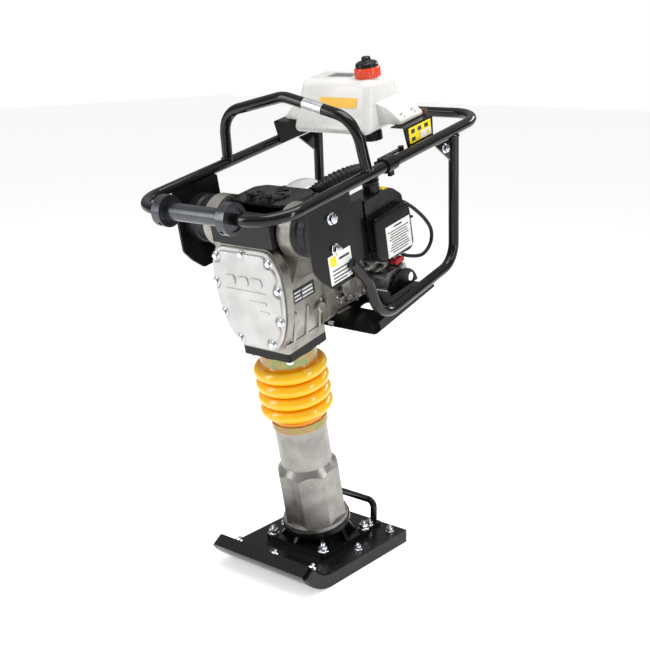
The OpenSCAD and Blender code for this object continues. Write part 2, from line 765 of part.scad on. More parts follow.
module tap_lever() {
    color([0.85, 0.85, 0.80]) leaning() {
        along_x(134 + gap, tap_at[0], tap_at[1]) cylinder(h = 4, r = 9);
        slab_x(136, 3) polygon(rounded(box_outline(275, 640, 281, 656), 2));
    }
}

switch_at = [262, 664];
module engine_switch() {
    color([0.75, 0.05, 0.08]) leaning() {
        along_x(104 + gap, switch_at[0], switch_at[1]) cylinder(h = 26, r = 5);
        slab_x(126, 14) polygon(rounded(box_outline(246, 660, 280, 671), 4));
    }
}

cleaner_v = [175, 312];
module air_cleaner_case() {
    color(black_paint) leaning() {
        slab_x(69, 61) polygon(rounded([[cleaner_v[0], 690], [cleaner_v[1], 690],
            [cleaner_v[1], 806], [276, 834], [cleaner_v[0], 834]], 10));
        // inlet neck
        translate([104, 238, 830]) cylinder(h = 22, r = 19);
    }
}

module air_cleaner_cover() {
    color(black_paint) leaning() {
        slab_x(130, 21) polygon(rounded([[cleaner_v[0] + 2, 700], [cleaner_v[0] + 16, 688],
            [cleaner_v[1] - 16, 680], [cleaner_v[1], 692], [cleaner_v[1] - 2, 778],
            [cleaner_v[1] - 14, 796], [cleaner_v[0] + 6, 792]], 8));
        along_v(138, cleaner_v[1] - 2, 750) cylinder(h = 10, r = 8);
    }
}

clean_x = 84;
module precleaner_case() {
    color(black_paint) leaning() difference() {
        slab_x(-clean_x, 2 * clean_x) polygon([[-80, 814], [-80, 862], [-58, 874],
            [-18, 880], [88, 880], [88, 814]]);
        slab_x(-clean_x + 4, 2 * clean_x - 8) polygon([[-76, 818], [-76, 860], [-56, 870],
            [-18, 890], [84, 890], [84, 818]]);
    }
}

module precleaner_lid() {
    color(black_paint) leaning() difference() {
        slab_z(880.3, 6) polygon(rounded([[-84, -8], [-60, -18], [60, -18], [84, -8], [84, 70],
                                          [62, 88], [-62, 88], [-84, 70]], 6));
    }
}

module cyclone_bowl() {
    color([0.85, 0.88, 0.86]) leaning() translate([-6, 140, 846.5]) rotate_extrude()
        polygon(concat([[0, 0], [46, 0]], [for (a = [0:15:90]) [46 * cos(a), 12 + 26 * sin(a)]]));
}

hose_r = 20;
module intake_hose() {
    pts = route([[53, 93, 863.5], [54, 106, 866], [62, 126, 875], [76, 154, 884],
                 [92, 188, 888], [102, 216, 885], [104, 236, 873], [104, 238, 858]], 5);
    color(rubber) leaning()
        sweep(pts, [for (i = [0:len(pts) - 1]) i % 2 == 0 ? hose_r : hose_r - 2.5], 12, [1, 0.2, 0]);
}

module breather_hose() {
    pts = route([[112, 317, 786], [124, 324, 782], [134, 346, 760], [140, 376, 724],
                 [141, 394, 690], [140, 386, 660], [136, 356, 644], [126, 322, 652],
                 [118, 300, 666], [112, 296, 684]], 4);
    color(rubber) leaning() sweep(pts, [for (i = pts) 4.2], 8, [1, 0, 0]);
}

module spark_plug() {
    color([0.85, 0.85, 0.82]) leaning() {
        along_x(-94 - gap, 156, 812) cylinder(h = 44, r = 8);
        along_x(-98, 156, 812) cylinder(h = 22, r = 11);
    }
}

// ---------- frame ----------

loop_pts = [[-rail_x, front_v], [rail_x, front_v], [rail_x, rear_v], [-rail_x, rear_v]];
corner_r = 78;
module rail_loop(r) {
    leaning() translate([0, 0, rail_w]) bent_tube(loop_pts, corner_r, r, closed = true);
}
module top_frame() { color(black_paint) rail_loop(tube_r); }

bow_v = 115;
module lifting_bow() {
    path = arc_route([[-rail_x, 0, rail_w], [-184, 0, 1034], [0, 0, bow_w], [184, 0, 1034],
                      [rail_x, 0, rail_w]], 70);
    color(black_paint) difference() {
        leaning() translate([0, bow_v, 0]) sweep(path, [for (q = path) tube_r], 20, [0, 1, 0]);
        rail_loop(tube_r + fit);
    }
}

guard_top_w = rail_w - tube_r - 2.4;
guard_pts = [[26, 760], [70, 698], [96, 603], [390, 622], [439, guard_top_w]];
module rear_guards() {
    path = arc_route([for (p = guard_pts) [0, p[0], p[1]]], 40);
    color(black_paint) difference() {
        leaning() for (s = [-1, 1]) {
            sweep([for (q = path) q + [s * rail_x, 0, 0]], [for (q = path) tube_r], 20, [1, 0, 0]);
            slab_x(s * rail_x - 2.5, 5) polygon([[364, guard_top_w], [434, guard_top_w],
                                                 [430, 852], [420, 852]]);
        }
        leaning() both_sides() translate([plate_x[0], 0, 722]) cube([6.05, 60.05, 60]);
        leaning() both_sides() along_x(rail_x - 20, 396, 890) cylinder(h = 40, r = 5.1);
    }
}

module side_plates() {
    color(black_paint) difference() {
        leaning() both_sides() slab_x(plate_x[0], 6)
            polygon(rounded([[-77, 912], [-79, 776], [-58, 748], [-30, 722], [60, 722],
                             [60, 912]], 6));
        rail_loop(tube_r + fit);
        leaning() both_sides() for (w = [801, 867])
            along_x(plate_x[0] - 1, ear_v, w) cylinder(h = 10, r = 6.2);
    }
}

module hex_bolt(r, under) {
    translate([0, 0, -under]) cylinder(h = under, r = r);
    cylinder(h = 2, r = r * 2.1);
    translate([0, 0, 2]) hex_head(r * 1.75, r * 1.3);
}
foot_x = 166;
module frame_bolts() {
    color(bright_zinc) leaning() both_sides() {
        for (w = [801, 867]) along_x(plate_x[1], ear_v, w) hex_bolt(6, 5.5);
        along_x(rail_x + 2.5, 396, 890) hex_bolt(5, 6);
        for (v = [312, 352]) translate([foot_x - 12, v, 984]) hex_bolt(4, 18);
    }
}

roller_half = 78;
collar_w = 22;
module roller_collars() {
    color(steel) leaning() both_sides() difference() {
        along_x(roller_half + gap, front_v, rail_w) cylinder(h = collar_w, r = 33);
        along_x(roller_half - 1, front_v, rail_w) cylinder(h = 60, r = tube_r + fit);
        along_x(roller_half + gap + collar_w - 5, front_v, rail_w) cylinder(h = 20, r = 25);
        translate([roller_half + 8, front_v, rail_w]) rotate([125, 0, 0]) cylinder(h = 60, r = 5);
    }
}

module carry_roller() {
    color(steel) leaning() along_x(-roller_half, front_v, rail_w) difference() {
        cylinder(h = 2 * roller_half, r = 18);
        translate([0, 0, -1]) cylinder(h = 2 * roller_half + 2, r = tube_r + fit);
    }
}

skid_v = [86, 326];
skid_low_w = 566;
skid_rise = 4.5;
module skid_plate() {
    color(black_paint) leaning() translate([0, skid_v[0], skid_low_w]) rotate([skid_rise, 0, 0])
        difference() {
            union() {
                slab_z(0, 3) polygon(rounded(box_outline(-186, 0, 186, skid_v[1] - skid_v[0]), 8));
                both_sides() translate([183, 20, 0]) cube([3, 210, 22]);
            }
            for (x = [-100, 0, 100]) slab_z(-1, 5) translate([x, 0])
                polygon(rounded(box_outline(-26, 90, 26, 120), 12));
        }
}

bracket_v = [272, 382];
bracket_w = 970;
module tank_brackets() {
    color(black_paint) difference() {
        leaning() both_sides() {
            slab_x(rail_x - 15, 3) polygon(rounded([[bracket_v[0], bracket_w],
                [bracket_v[0] + 12, rail_w - 6], [bracket_v[1] - 6, rail_w - 6],
                [bracket_v[1], bracket_w]], 5));
            translate([146, bracket_v[0] + 8, bracket_w - 3])
                cube([rail_x - 12 - 146, bracket_v[1] - bracket_v[0] - 8, 3]);
        }
        rail_loop(tube_r + fit);
        leaning() both_sides() for (v = [312, 352])
            translate([foot_x - 12, v, bracket_w - 5]) cylinder(h = 8, r = 4.2);
    }
}

// Tank shell between rounded corners; "in" shrinks it for the hollow
module tank_shape(in) {
    r = 12 - in;
    hull() {
        for (x = [-97, 97], v = [300, 366]) translate([x + (x > 0 ? -12 : 12), v, tank_top_w - 12])
            sphere(r = r, $fn = 20);
        for (x = [-110, 110], v = [256, 396]) translate([x + (x > 0 ? -12 : 12), v, tank_low_w + 12])
            sphere(r = r, $fn = 20);
    }
}
cap_at = [66, 326];
neck_r = 22;
module fuel_tank() {
    color([0.95, 0.94, 0.90]) leaning() difference() {
        union() {
            tank_shape(0);
            translate([cap_at[0], cap_at[1], tank_top_w - 4]) cylinder(h = 14, r = neck_r);
            // feet on the brackets
            both_sides() difference() {
                slab_y(292, 86) polygon([[80, bracket_w + gap], [foot_x, bracket_w + gap],
                                         [foot_x, 984], [118, 1020], [80, 1020]]);
                for (v = [312, 352]) translate([foot_x - 12, v, 900]) cylinder(h = 100, r = 4.2);
                for (v = [312, 352]) translate([foot_x - 12, v, 984]) cylinder(h = 60, r = 13);
            }
        }
        tank_shape(3);
        translate([cap_at[0], cap_at[1], tank_top_w - 20]) cylinder(h = 60, r = neck_r - 4);
        translate([86, 290, tank_low_w - 2]) cylinder(h = 6.5, r = 12.1);
    }
}

module tank_cap() {
    color([0.90, 0.22, 0.08]) leaning() translate([cap_at[0], cap_at[1], tank_top_w + gap])
        difference() {
            union() {
                cylinder(h = 22, r = 28.5);
                translate([0, 0, 22]) cylinder(h = 12, r1 = 26, r2 = 20);
                translate([0, 0, 34]) cylinder(h = 10, r1 = 12, r2 = 9);
            }
            translate([0, 0, -1]) cylinder(h = 18, r = neck_r + 0.4);
        }
}

module fuel_filter() {
    color([0.45, 0.42, 0.36]) leaning() {
        translate([86, 290, tank_low_w - 18]) cylinder(h = 18 - gap, r = 22);
        translate([86, 290, tank_low_w - 2]) cylinder(h = 6, r = 11.9);
    }
}

throttle_v = [172, 206];
module throttle_clamp() {
    color(black_paint) leaning() {
        translate([rail_x, throttle_v[0], rail_w]) rotate([-90, 0, 0]) difference() {
            cylinder(h = throttle_v[1] - throttle_v[0], r = tube_r + 4);
            translate([0, 0, -1]) cylinder(h = 60, r = tube_r + fit);
        }
        translate([rail_x - 4, 186, rail_w - 26]) cube([8, 14, 12]);
        translate([rail_x - 30, 178, rail_w - 5]) cube([16, 24, 10]);
    }
}

module throttle_lever() {
    color(black_paint) leaning() {
        translate([rail_x - 22, 190, rail_w + 5 + gap]) cylinder(h = 5, r = 6.3);
        slab_z(rail_w + 6, 4) polygon(rounded(box_outline(rail_x - 28, 186, rail_x - 17, 272), 5));
        translate([rail_x - 22.5, 268, rail_w + 2]) cylinder(h = 12, r = 6.5);
    }
}

wear_plate();
shoe_core();
shoe_bolts();
foot_flange();
heel_handle();
spring_cylinder();
cylinder_gland();
lower_clamp_ring();
bellows();
lower_springs();
upper_springs();
guide_cylinder();
mounting_flange();
upper_clamp_ring();
crankcase();
crankcase_cover();
case_bolts();
rubber_mounts();
shaft_bearings();
clutch_housing();
engine_block();
cylinder_barrel();
engine_shroud();
fan_housing();
recoil_cover();
muffler();
muffler_guard();
carburettor();
air_cleaner_case();
air_cleaner_cover();
precleaner_case();
precleaner_lid();
cyclone_bowl();
intake_hose();
breather_hose();
spark_plug();
crank_gear();
con_rod();
piston_pin();
drive_piston();
clutch_drum();
engine_shaft();
top_frame();
lifting_bow();
rear_guards();
side_plates();
frame_bolts();
roller_collars();
skid_plate();
tank_brackets();
fuel_tank();
fuel_filter();
throttle_clamp();
carry_roller();
tank_cap();
throttle_lever();
choke_lever();
tap_lever();
engine_switch();
starter_grip();
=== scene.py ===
"""Looks of an upright tamping rammer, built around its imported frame."""

import logging
import math
from dataclasses import dataclass, field
from enum import Enum
from typing import ClassVar

import bpy
from mathutils import Matrix, Vector


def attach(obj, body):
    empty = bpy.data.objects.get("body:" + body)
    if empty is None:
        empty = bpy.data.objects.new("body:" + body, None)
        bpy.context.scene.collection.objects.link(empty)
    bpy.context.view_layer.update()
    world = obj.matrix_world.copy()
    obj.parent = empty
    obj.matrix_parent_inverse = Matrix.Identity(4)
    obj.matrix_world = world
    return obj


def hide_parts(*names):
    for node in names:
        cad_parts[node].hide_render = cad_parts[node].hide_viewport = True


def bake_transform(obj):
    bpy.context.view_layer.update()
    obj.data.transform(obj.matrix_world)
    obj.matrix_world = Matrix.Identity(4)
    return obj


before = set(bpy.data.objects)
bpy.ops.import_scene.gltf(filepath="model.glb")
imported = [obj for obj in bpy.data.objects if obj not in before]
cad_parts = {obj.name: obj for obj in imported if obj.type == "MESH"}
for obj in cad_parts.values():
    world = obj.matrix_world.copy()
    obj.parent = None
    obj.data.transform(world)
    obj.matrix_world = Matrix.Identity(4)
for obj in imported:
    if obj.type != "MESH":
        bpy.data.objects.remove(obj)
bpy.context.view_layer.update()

LOG = logging.getLogger("rammer")
MM = 0.001
LEAN = math.radians(12.25)
LEAN_MATRIX = Matrix.Rotation(LEAN, 4, "X")
Colour = tuple[float, float, float]
Point = tuple[float, float, float]
Flat = tuple[float, float]


class Facing(Enum):
    """Which way a flat piece's own +Z looks, on the leaning machine."""

    TOP = ((1, 0, 0), (0, 1, 0), (0, 0, 1))
    FRONT = ((1, 0, 0), (0, 0, 1), (0, -1, 0))
    REAR = ((-1, 0, 0), (0, 0, 1), (0, 1, 0))
    RIGHT = ((0, 1, 0), (0, 0, 1), (1, 0, 0))
    LEFT = ((0, -1, 0), (0, 0, 1), (-1, 0, 0))
    UNDER = ((1, 0, 0), (0, -1, 0), (0, 0, -1))


class Grain(Enum):
    """How a finish varies over its surface."""

    SMOOTH = 0
    CAST = 1
    BRUSHED = 2


def leaned(x: float, v: float, w: float) -> Vector:
    """Turns a place on the leaning machine, in millimetres, into the row frame.

    Args:
        x: distance across.
        v: distance behind the leg axis.
        w: distance along the leg axis from the ground.

    Returns:
        The same place in metres.
    """
    return LEAN_MATRIX @ Vector((x * MM, v * MM, w * MM))


# ---------------------------------------------------------------- finishes


@dataclass
class NodeSheet:
    """The nodes of one material and the coordinates that its patterns read."""

    nodes: bpy.types.Nodes
    links: bpy.types.NodeLinks
    shader: bpy.types.ShaderNode
    place: bpy.types.NodeSocket

    def noise(self, size_mm: float, detail: float) -> bpy.types.NodeSocket:
        """Adds a noise pattern.

        Args:
            size_mm: size of a patch.
            detail: number of finer octaves.

        Returns:
            The pattern's value.
        """
        pattern = self.nodes.new("ShaderNodeTexNoise")
        pattern.inputs["Scale"].default_value = 1 / (size_mm * MM)
        pattern.inputs["Detail"].default_value = detail
        self.links.new(self.place, pattern.inputs["Vector"])
        return pattern.outputs["Fac"]

    def span(
        self, value: bpy.types.NodeSocket, source: Flat, target: Flat = (0.0, 1.0)
    ) -> bpy.types.NodeSocket:
        """Maps a value from its source limits to its target limits."""
        span = self.nodes.new("ShaderNodeMapRange")
        names = ("From Min", "From Max", "To Min", "To Max")
        for name, limit in zip(names, (*source, *target)):
            span.inputs[name].default_value = limit
        self.links.new(value, span.inputs["Value"])
        return span.outputs["Result"]

    def colours(self, value: bpy.types.NodeSocket, stops: list[tuple[float, Colour]]) -> None:
        """Colours the surface by a value.

        Args:
            value: what the colour follows.
            stops: places along the value, each with its colour, in rising order.
        """
        ramp = self.nodes.new("ShaderNodeValToRGB")
        elements = ramp.color_ramp.elements
        for element, (position, colour) in zip(elements, (stops[0], stops[-1])):
            element.position, element.color = position, (*colour, 1)
        for position, colour in stops[1:-1]:
            elements.new(position).color = (*colour, 1)
        self.links.new(value, ramp.inputs["Fac"])
        self.links.new(ramp.outputs["Color"], self.shader.inputs["Base Color"])


@dataclass(frozen=True)
class Finish:
    """A procedural finish, with its colour, gloss and surface grain."""

    name: str
    colour: Colour
    tint: Colour
    roughness: float
    metallic: float = 0.0
    grain: Grain = Grain.SMOOTH
    patch_mm: float = 60.0
    coat: float = 0.0
    rough_spread: float = 0.08
    bump: float = 0.0
    bump_mm: float = 1.2
    subsurface: float = 0.0
    specular: float = 0.5

    coat_roughness: ClassVar[float] = 0.06
    brush_stretch: ClassVar[float] = 14.0
    gloss_patch_mm: ClassVar[float] = 18.0
    relief_mm: ClassVar[float] = 0.4

    def material(self) -> bpy.types.Material:
        """Returns the finish's material, made the first time it is asked for."""
        name = f"finish_{self.name}"
        made = bpy.data.materials.get(name)
        if made:
            return made
        made = bpy.data.materials.new(name)
        made.use_nodes = True
        nodes, links = made.node_tree.nodes, made.node_tree.links
        shader = nodes["Principled BSDF"]
        shader.inputs["Metallic"].default_value = self.metallic
        shader.inputs["Specular IOR Level"].default_value = self.specular
        shader.inputs["Coat Weight"].default_value = self.coat
        shader.inputs["Coat Roughness"].default_value = self.coat_roughness
        if self.subsurface:
            shader.inputs["Subsurface Weight"].default_value = self.subsurface
            shader.inputs["Subsurface Radius"].default_value = (0.02, 0.014, 0.008)
            shader.inputs["Subsurface Scale"].default_value = 0.3
        place = nodes.new("ShaderNodeTexCoord").outputs["Object"]
        if self.grain is Grain.BRUSHED:
            stretch = nodes.new("ShaderNodeMapping")
            stretch.inputs["Scale"].default_value = (1.0, 1.0, self.brush_stretch)
            links.new(place, stretch.inputs["Vector"])
            place = stretch.outputs["Vector"]
        sheet = NodeSheet(nodes, links, shader, place)
        self.paint(sheet)
        self.gloss(sheet)
        if self.bump:
            self.relief(sheet)
        return made

    def paint(self, sheet: NodeSheet) -> None:
        """Mixes the two colours in soft patches, with speckle on castings."""
        detail = 9.0 if self.grain is Grain.CAST else 4.0
        patches = sheet.noise(self.patch_mm, detail)
        sheet.colours(patches, [(0.36, self.tint), (0.62, self.colour)])

    def gloss(self, sheet: NodeSheet) -> None:
        """Varies the roughness around its middle value."""
        low = max(self.roughness - self.rough_spread, 0.02)
        patches = sheet.noise(self.gloss_patch_mm, 5.0)
        rough = sheet.span(patches, (0.3, 0.7), (low, self.roughness + self.rough_spread))
        sheet.links.new(rough, sheet.shader.inputs["Roughness"])

    def relief(self, sheet: NodeSheet) -> None:
        """Adds a fine relief at the scale of the casting or moulding."""
        relief = sheet.nodes.new("ShaderNodeBump")
        relief.inputs["Strength"].default_value = self.bump
        relief.inputs["Distance"].default_value = self.relief_mm * MM
        sheet.links.new(sheet.noise(self.bump_mm, 3.0), relief.inputs["Height"])
        sheet.links.new(relief.outputs["Normal"], sheet.shader.inputs["Normal"])


@dataclass(frozen=True)
class BellowsFinish(Finish):
    """Glossy yellow with painted shade: it darkens to orange in the valleys between the folds."""

    # Darker orange painted into the valleys as painted shade in the creases.
    valley_shade: Colour = (0.80, 0.27, 0.0)
    deep_r: float = 69.0
    crest_r: float = 79.0

    def paint(self, sheet: NodeSheet) -> None:
        """Colours by the distance from the leg axis: yellow at the crests, darker orange in the
        valleys as painted shade.
        """
        nodes, links = sheet.nodes, sheet.links
        upright = nodes.new("ShaderNodeVectorRotate")
        upright.rotation_type = "X_AXIS"
        upright.inputs["Angle"].default_value = -LEAN
        links.new(sheet.place, upright.inputs["Vector"])
        across = nodes.new("ShaderNodeVectorMath")
        across.operation = "MULTIPLY"
        across.inputs[1].default_value = (1, 1, 0)
        links.new(upright.outputs["Vector"], across.inputs[0])
        radius = nodes.new("ShaderNodeVectorMath")
        radius.operation = "LENGTH"
        links.new(across.outputs["Vector"], radius.inputs[0])
        share = sheet.span(radius.outputs["Value"], (self.deep_r * MM, self.crest_r * MM))
        # Painted shade: the ramp darkens from the yellow crests to the orange valleys.
        sheet.colours(share, [(0.0, self.valley_shade), (0.45, self.tint), (1.0, self.colour)])


@dataclass(frozen=True)
class PassivatedFinish(Finish):
    """Yellow zinc with the rainbow sheen of its passivation."""

    green: Colour = (0.17, 0.27, 0.13)
    rose: Colour = (0.36, 0.20, 0.15)

    def paint(self, sheet: NodeSheet) -> None:
        """Drifts between green, gold and rose."""
        patches = sheet.noise(self.patch_mm, 3.0)
        sheet.colours(patches, [(0.30, self.green), (0.50, self.colour), (0.72, self.rose)])


BLACK_PAINT = Finish(
    "black_gloss_paint", (0.006, 0.006, 0.006), (0.004, 0.004, 0.004), 0.12,
    coat=0.18, rough_spread=0.03, bump=0.05, bump_mm=3.0, specular=0.28,
)
SATIN_PAINT = Finish(
    "black_satin_paint", (0.007, 0.007, 0.007), (0.004, 0.004, 0.004), 0.22,
    rough_spread=0.05, bump=0.08, bump_mm=2.4, specular=0.22,
)
SHOE_BLACK = Finish(
    "shoe_laminate", (0.008, 0.008, 0.008), (0.005, 0.005, 0.005), 0.28,
    bump=0.20, bump_mm=2.5, specular=0.22,
)
CAST_ALUMINIUM = Finish(
    "cast_aluminium", (0.40, 0.38, 0.345), (0.27, 0.255, 0.23), 0.38, metallic=0.80,
    grain=Grain.CAST, patch_mm=34.0, rough_spread=0.07, bump=0.30, bump_mm=1.3,
)
LEG_CASTING = Finish(
    "leg_casting", (0.37, 0.355, 0.335), (0.27, 0.26, 0.245), 0.34, metallic=0.85,
    grain=Grain.CAST, patch_mm=40.0, rough_spread=0.08, bump=0.24, bump_mm=1.4,
)
COVER_GREY = Finish(
    "cover_silver", (0.60, 0.595, 0.585), (0.50, 0.495, 0.485), 0.36, metallic=0.55,
    grain=Grain.CAST, patch_mm=50.0, rough_spread=0.06, bump=0.18, bump_mm=1.2,
)
ZINC = Finish(
    "bright_zinc", (0.78, 0.80, 0.83), (0.62, 0.65, 0.70), 0.20, metallic=1.0,
    patch_mm=9.0, rough_spread=0.07, bump=0.10, bump_mm=1.5,
)
YELLOW_ZINC = PassivatedFinish(
    "yellow_zinc", (0.34, 0.26, 0.10), (0.30, 0.26, 0.12), 0.24, metallic=0.95,
    patch_mm=30.0, rough_spread=0.06,
)
STEEL = Finish(
    "turned_steel", (0.44, 0.45, 0.47), (0.34, 0.35, 0.37), 0.30, metallic=1.0,
    grain=Grain.BRUSHED, patch_mm=12.0, rough_spread=0.08, bump=0.12, bump_mm=0.9,
)
DARK_STEEL = Finish(
    "dark_roller_steel", (0.10, 0.105, 0.115), (0.06, 0.063, 0.07), 0.24, metallic=0.85,
    patch_mm=40.0, rough_spread=0.04, bump=0.03, bump_mm=2.6,
)
# Bellows yellow whose valleys darken to orange as painted shade.
BELLOWS_YELLOW = BellowsFinish(
    "bellows_yellow", (1.0, 0.54, 0.004), (0.98, 0.40, 0.002), 0.20, coat=0.3,
    rough_spread=0.05, subsurface=0.08, bump=0.06, bump_mm=6.0,
)
RUBBER = Finish(
    "black_rubber", (0.012, 0.012, 0.013), (0.008, 0.008, 0.009), 0.36,
    bump=0.12, bump_mm=1.0, specular=0.30,
)
PLASTIC = Finish(
    "black_plastic", (0.009, 0.009, 0.010), (0.006, 0.006, 0.007), 0.26,
    bump=0.16, bump_mm=0.9, specular=0.28,
)
TANK_WHITE = Finish(
    "tank_white", (0.74, 0.735, 0.705), (0.70, 0.69, 0.655), 0.28, coat=0.15,
    rough_spread=0.05, subsurface=0.12, bump=0.06, bump_mm=4.0, patch_mm=90.0,
)
CAP_ORANGE = Finish(
    "cap_orange", (0.86, 0.075, 0.018), (0.78, 0.055, 0.012), 0.30, coat=0.25,
    bump=0.10, bump_mm=1.2,
)
SWITCH_RED = Finish(
    "switch_red", (0.62, 0.016, 0.022), (0.52, 0.012, 0.018), 0.30, bump=0.08,
)
BOWL_CLEAR = Finish(
    "bowl_smoke", (0.60, 0.62, 0.61), (0.50, 0.52, 0.51), 0.22, coat=0.4, bump=0.05,
)
LABEL_WHITE = Finish(
    "label_white", (0.86, 0.86, 0.84), (0.83, 0.83, 0.81), 0.32, rough_spread=0.03, bump=0.03,
)
LABEL_YELLOW = Finish(
    "label_yellow", (0.96, 0.76, 0.015), (0.93, 0.72, 0.015), 0.32, rough_spread=0.03, bump=0.03,
)
MARK_GOLD = Finish(
    "mark_gold", (0.93, 0.52, 0.012), (0.90, 0.48, 0.010), 0.32, rough_spread=0.03, bump=0.03,
)
LABEL_INK = Finish(
    "label_ink", (0.03, 0.03, 0.03), (0.04, 0.04, 0.04), 0.40, rough_spread=0.03, bump=0.03,
)
LABEL_SILVER = Finish(
    "label_silver", (0.62, 0.63, 0.64), (0.55, 0.56, 0.57), 0.30, metallic=0.8, bump=0.03,
)
BUFFER_BROWN = Finish(
    "buffer_brown", (0.13, 0.045, 0.022), (0.09, 0.032, 0.016), 0.50, bump=0.12,
)

NODES_OF: list[tuple[Finish, str]] = [
    (BLACK_PAINT, "wear_plate heel_handle top_frame lifting_bow rear_guards"),
    (SATIN_PAINT, "foot_flange mounting_flange engine_shroud fan_housing recoil_cover "
                  "muffler_guard side_plates skid_plate tank_brackets throttle_clamp"),
    (SHOE_BLACK, "shoe_core"),
    (ZINC, "shoe_bolts case_bolts frame_bolts"),
    (YELLOW_ZINC, "lower_clamp_ring upper_clamp_ring guide_cylinder"),
    (LEG_CASTING, "spring_cylinder"),
    (CAST_ALUMINIUM, "crankcase clutch_housing engine_block cylinder_barrel carburettor"),
    (COVER_GREY, "crankcase_cover"),
    (STEEL, "cylinder_gland lower_springs upper_springs shaft_bearings muffler crank_gear "
            "con_rod piston_pin drive_piston clutch_drum engine_shaft"),
    (DARK_STEEL, "roller_collars carry_roller"),
    (BELLOWS_YELLOW, "bellows"),
    (RUBBER, "rubber_mounts intake_hose breather_hose starter_grip"),
    (PLASTIC, "air_cleaner_case air_cleaner_cover precleaner_case precleaner_lid fuel_filter "
              "throttle_lever choke_lever"),
    (BOWL_CLEAR, "cyclone_bowl"),
    (TANK_WHITE, "fuel_tank spark_plug tap_lever"),
    (CAP_ORANGE, "tank_cap"),
    (SWITCH_RED, "engine_switch"),
]


# ---------------------------------------------------------------- workbench


class Bench:
    """Modelling steps shared by all sub-assemblies."""

    sharp_edge = math.radians(28)
    seam_mm = 0.01
    ring_steps = 8

    @staticmethod
    def pick(*pieces: bpy.types.Object) -> None:
        """Selects only these pieces and makes the first one active."""
        bpy.ops.object.select_all(action="DESELECT")
        for piece in pieces:
            piece.select_set(True)
        bpy.context.view_layer.objects.active = pieces[0]

    @staticmethod
    def settle(piece: bpy.types.Object) -> bpy.types.Object:
        """Puts the piece's place into its mesh."""
        Bench.pick(piece)
        bpy.ops.object.transform_apply(location=True, rotation=True, scale=True)
        return piece

    @staticmethod
    def turned(name: str, profile: list[Flat], steps: int = 48) -> bpy.types.Object:
        """Spins a profile of (radius, height) points about the piece's own Z.

        Args:
            name: the piece's name.
            profile: the points in millimetres, in order.
            steps: faces round the axis.

        Returns:
            The new piece.
        """
        bpy.ops.object.select_all(action="DESELECT")
        bpy.ops.mesh.primitive_plane_add(size=MM)
        piece = bpy.context.active_object
        piece.name = name
        bpy.ops.object.mode_set(mode="EDIT")
        bpy.ops.mesh.merge(type="CENTER")
        bpy.ops.transform.translate(value=(profile[0][0] * MM, 0, profile[0][1] * MM))
        for (r0, h0), (r1, h1) in zip(profile, profile[1:]):
            move = ((r1 - r0) * MM, 0, (h1 - h0) * MM)
            bpy.ops.mesh.extrude_vertices_move(TRANSFORM_OT_translate={"value": move})
        bpy.ops.mesh.select_all(action="SELECT")
        bpy.ops.mesh.spin(steps=steps, angle=math.tau, center=(0, 0, 0), axis=(0, 0, 1))
        bpy.ops.mesh.select_all(action="SELECT")
        bpy.ops.mesh.remove_doubles(threshold=Bench.seam_mm * MM)
        bpy.ops.mesh.normals_make_consistent(inside=False)
        bpy.ops.object.mode_set(mode="OBJECT")
        return piece

    @staticmethod
    def plate(
        name: str, outline: list[Flat], thick: float, bevel: float = 0.0, segments: int = 3
    ) -> bpy.types.Object:
        """Makes a plate with an outline in its own XY and rounded edges.

        Args:
            name: the piece's name.
            outline: corner points in millimetres, in order.
            thick: thickness along its own +Z.
            bevel: radius of the rounded edges.
            segments: steps of the rounding.

        Returns:
            The new piece.
        """
        bpy.ops.object.select_all(action="DESELECT")
        bpy.ops.mesh.primitive_circle_add(vertices=len(outline), fill_type="NGON", radius=MM)
        piece = bpy.context.active_object
        piece.name = name
        for vertex, (x, y) in zip(piece.data.vertices, outline):
            vertex.co = (x * MM, y * MM, 0)
        bpy.ops.object.mode_set(mode="EDIT")
        bpy.ops.mesh.select_all(action="SELECT")
        bpy.ops.mesh.extrude_region_move(
            TRANSFORM_OT_translate={"value": (0, 0, thick * MM)}
        )
        bpy.ops.mesh.select_all(action="SELECT")
        bpy.ops.mesh.normals_make_consistent(inside=False)
        bpy.ops.object.mode_set(mode="OBJECT")
        if bevel:
            Bench.soften(piece, bevel, segments)
        return piece

    @staticmethod
    def block(name: str, size: Point, bevel: float = 0.0) -> bpy.types.Object:
        """Makes a plate from a plain rectangle centred on its own origin."""
        half_x, half_y = size[0] / 2, size[1] / 2
        outline = [(-half_x, -half_y), (half_x, -half_y), (half_x, half_y), (-half_x, half_y)]
        return Bench.plate(name, outline, size[2], bevel)

    @staticmethod
    def soften(piece: bpy.types.Object, width: float, segments: int = 3) -> None:
        """Rounds the sharp edges of a piece by a bevel that is applied."""
        Bench.pick(piece)
        bevel = piece.modifiers.new("edges", "BEVEL")
        bevel.width = width * MM
        bevel.segments = segments
        bevel.limit_method = "ANGLE"
        bevel.angle_limit = Bench.sharp_edge
        bpy.ops.object.modifier_apply(modifier=bevel.name)

    @staticmethod
    def hose(
        name: str, places: list[Point], radius: float, swell: list[float] | None = None
    ) -> bpy.types.Object:
        """Makes a round tube along a route on the leaning machine.

        Args:
            name: the piece's name.
            places: points of the route as (x, v, w) in millimetres.
            radius: the tube's radius.
            swell: share of the radius at each point, all 1 if left out.

        Returns:
            The new piece, with its place in its mesh.
        """
        bpy.ops.object.select_all(action="DESELECT")
        bpy.ops.curve.primitive_nurbs_path_add()
        piece = bpy.context.active_object
        piece.name = name
        path = piece.data
        path.splines.clear()
        line = path.splines.new("POLY")
        line.points.add(len(places) - 1)
        for i, place in enumerate(places):
            line.points[i].co = (*leaned(*place), 1)
            line.points[i].radius = swell[i] if swell else 1.0
        path.bevel_depth = radius * MM
        path.bevel_resolution = Bench.ring_steps
        path.use_fill_caps = True
        Bench.pick(piece)
        bpy.ops.object.convert(target="MESH")
        return bpy.context.active_object

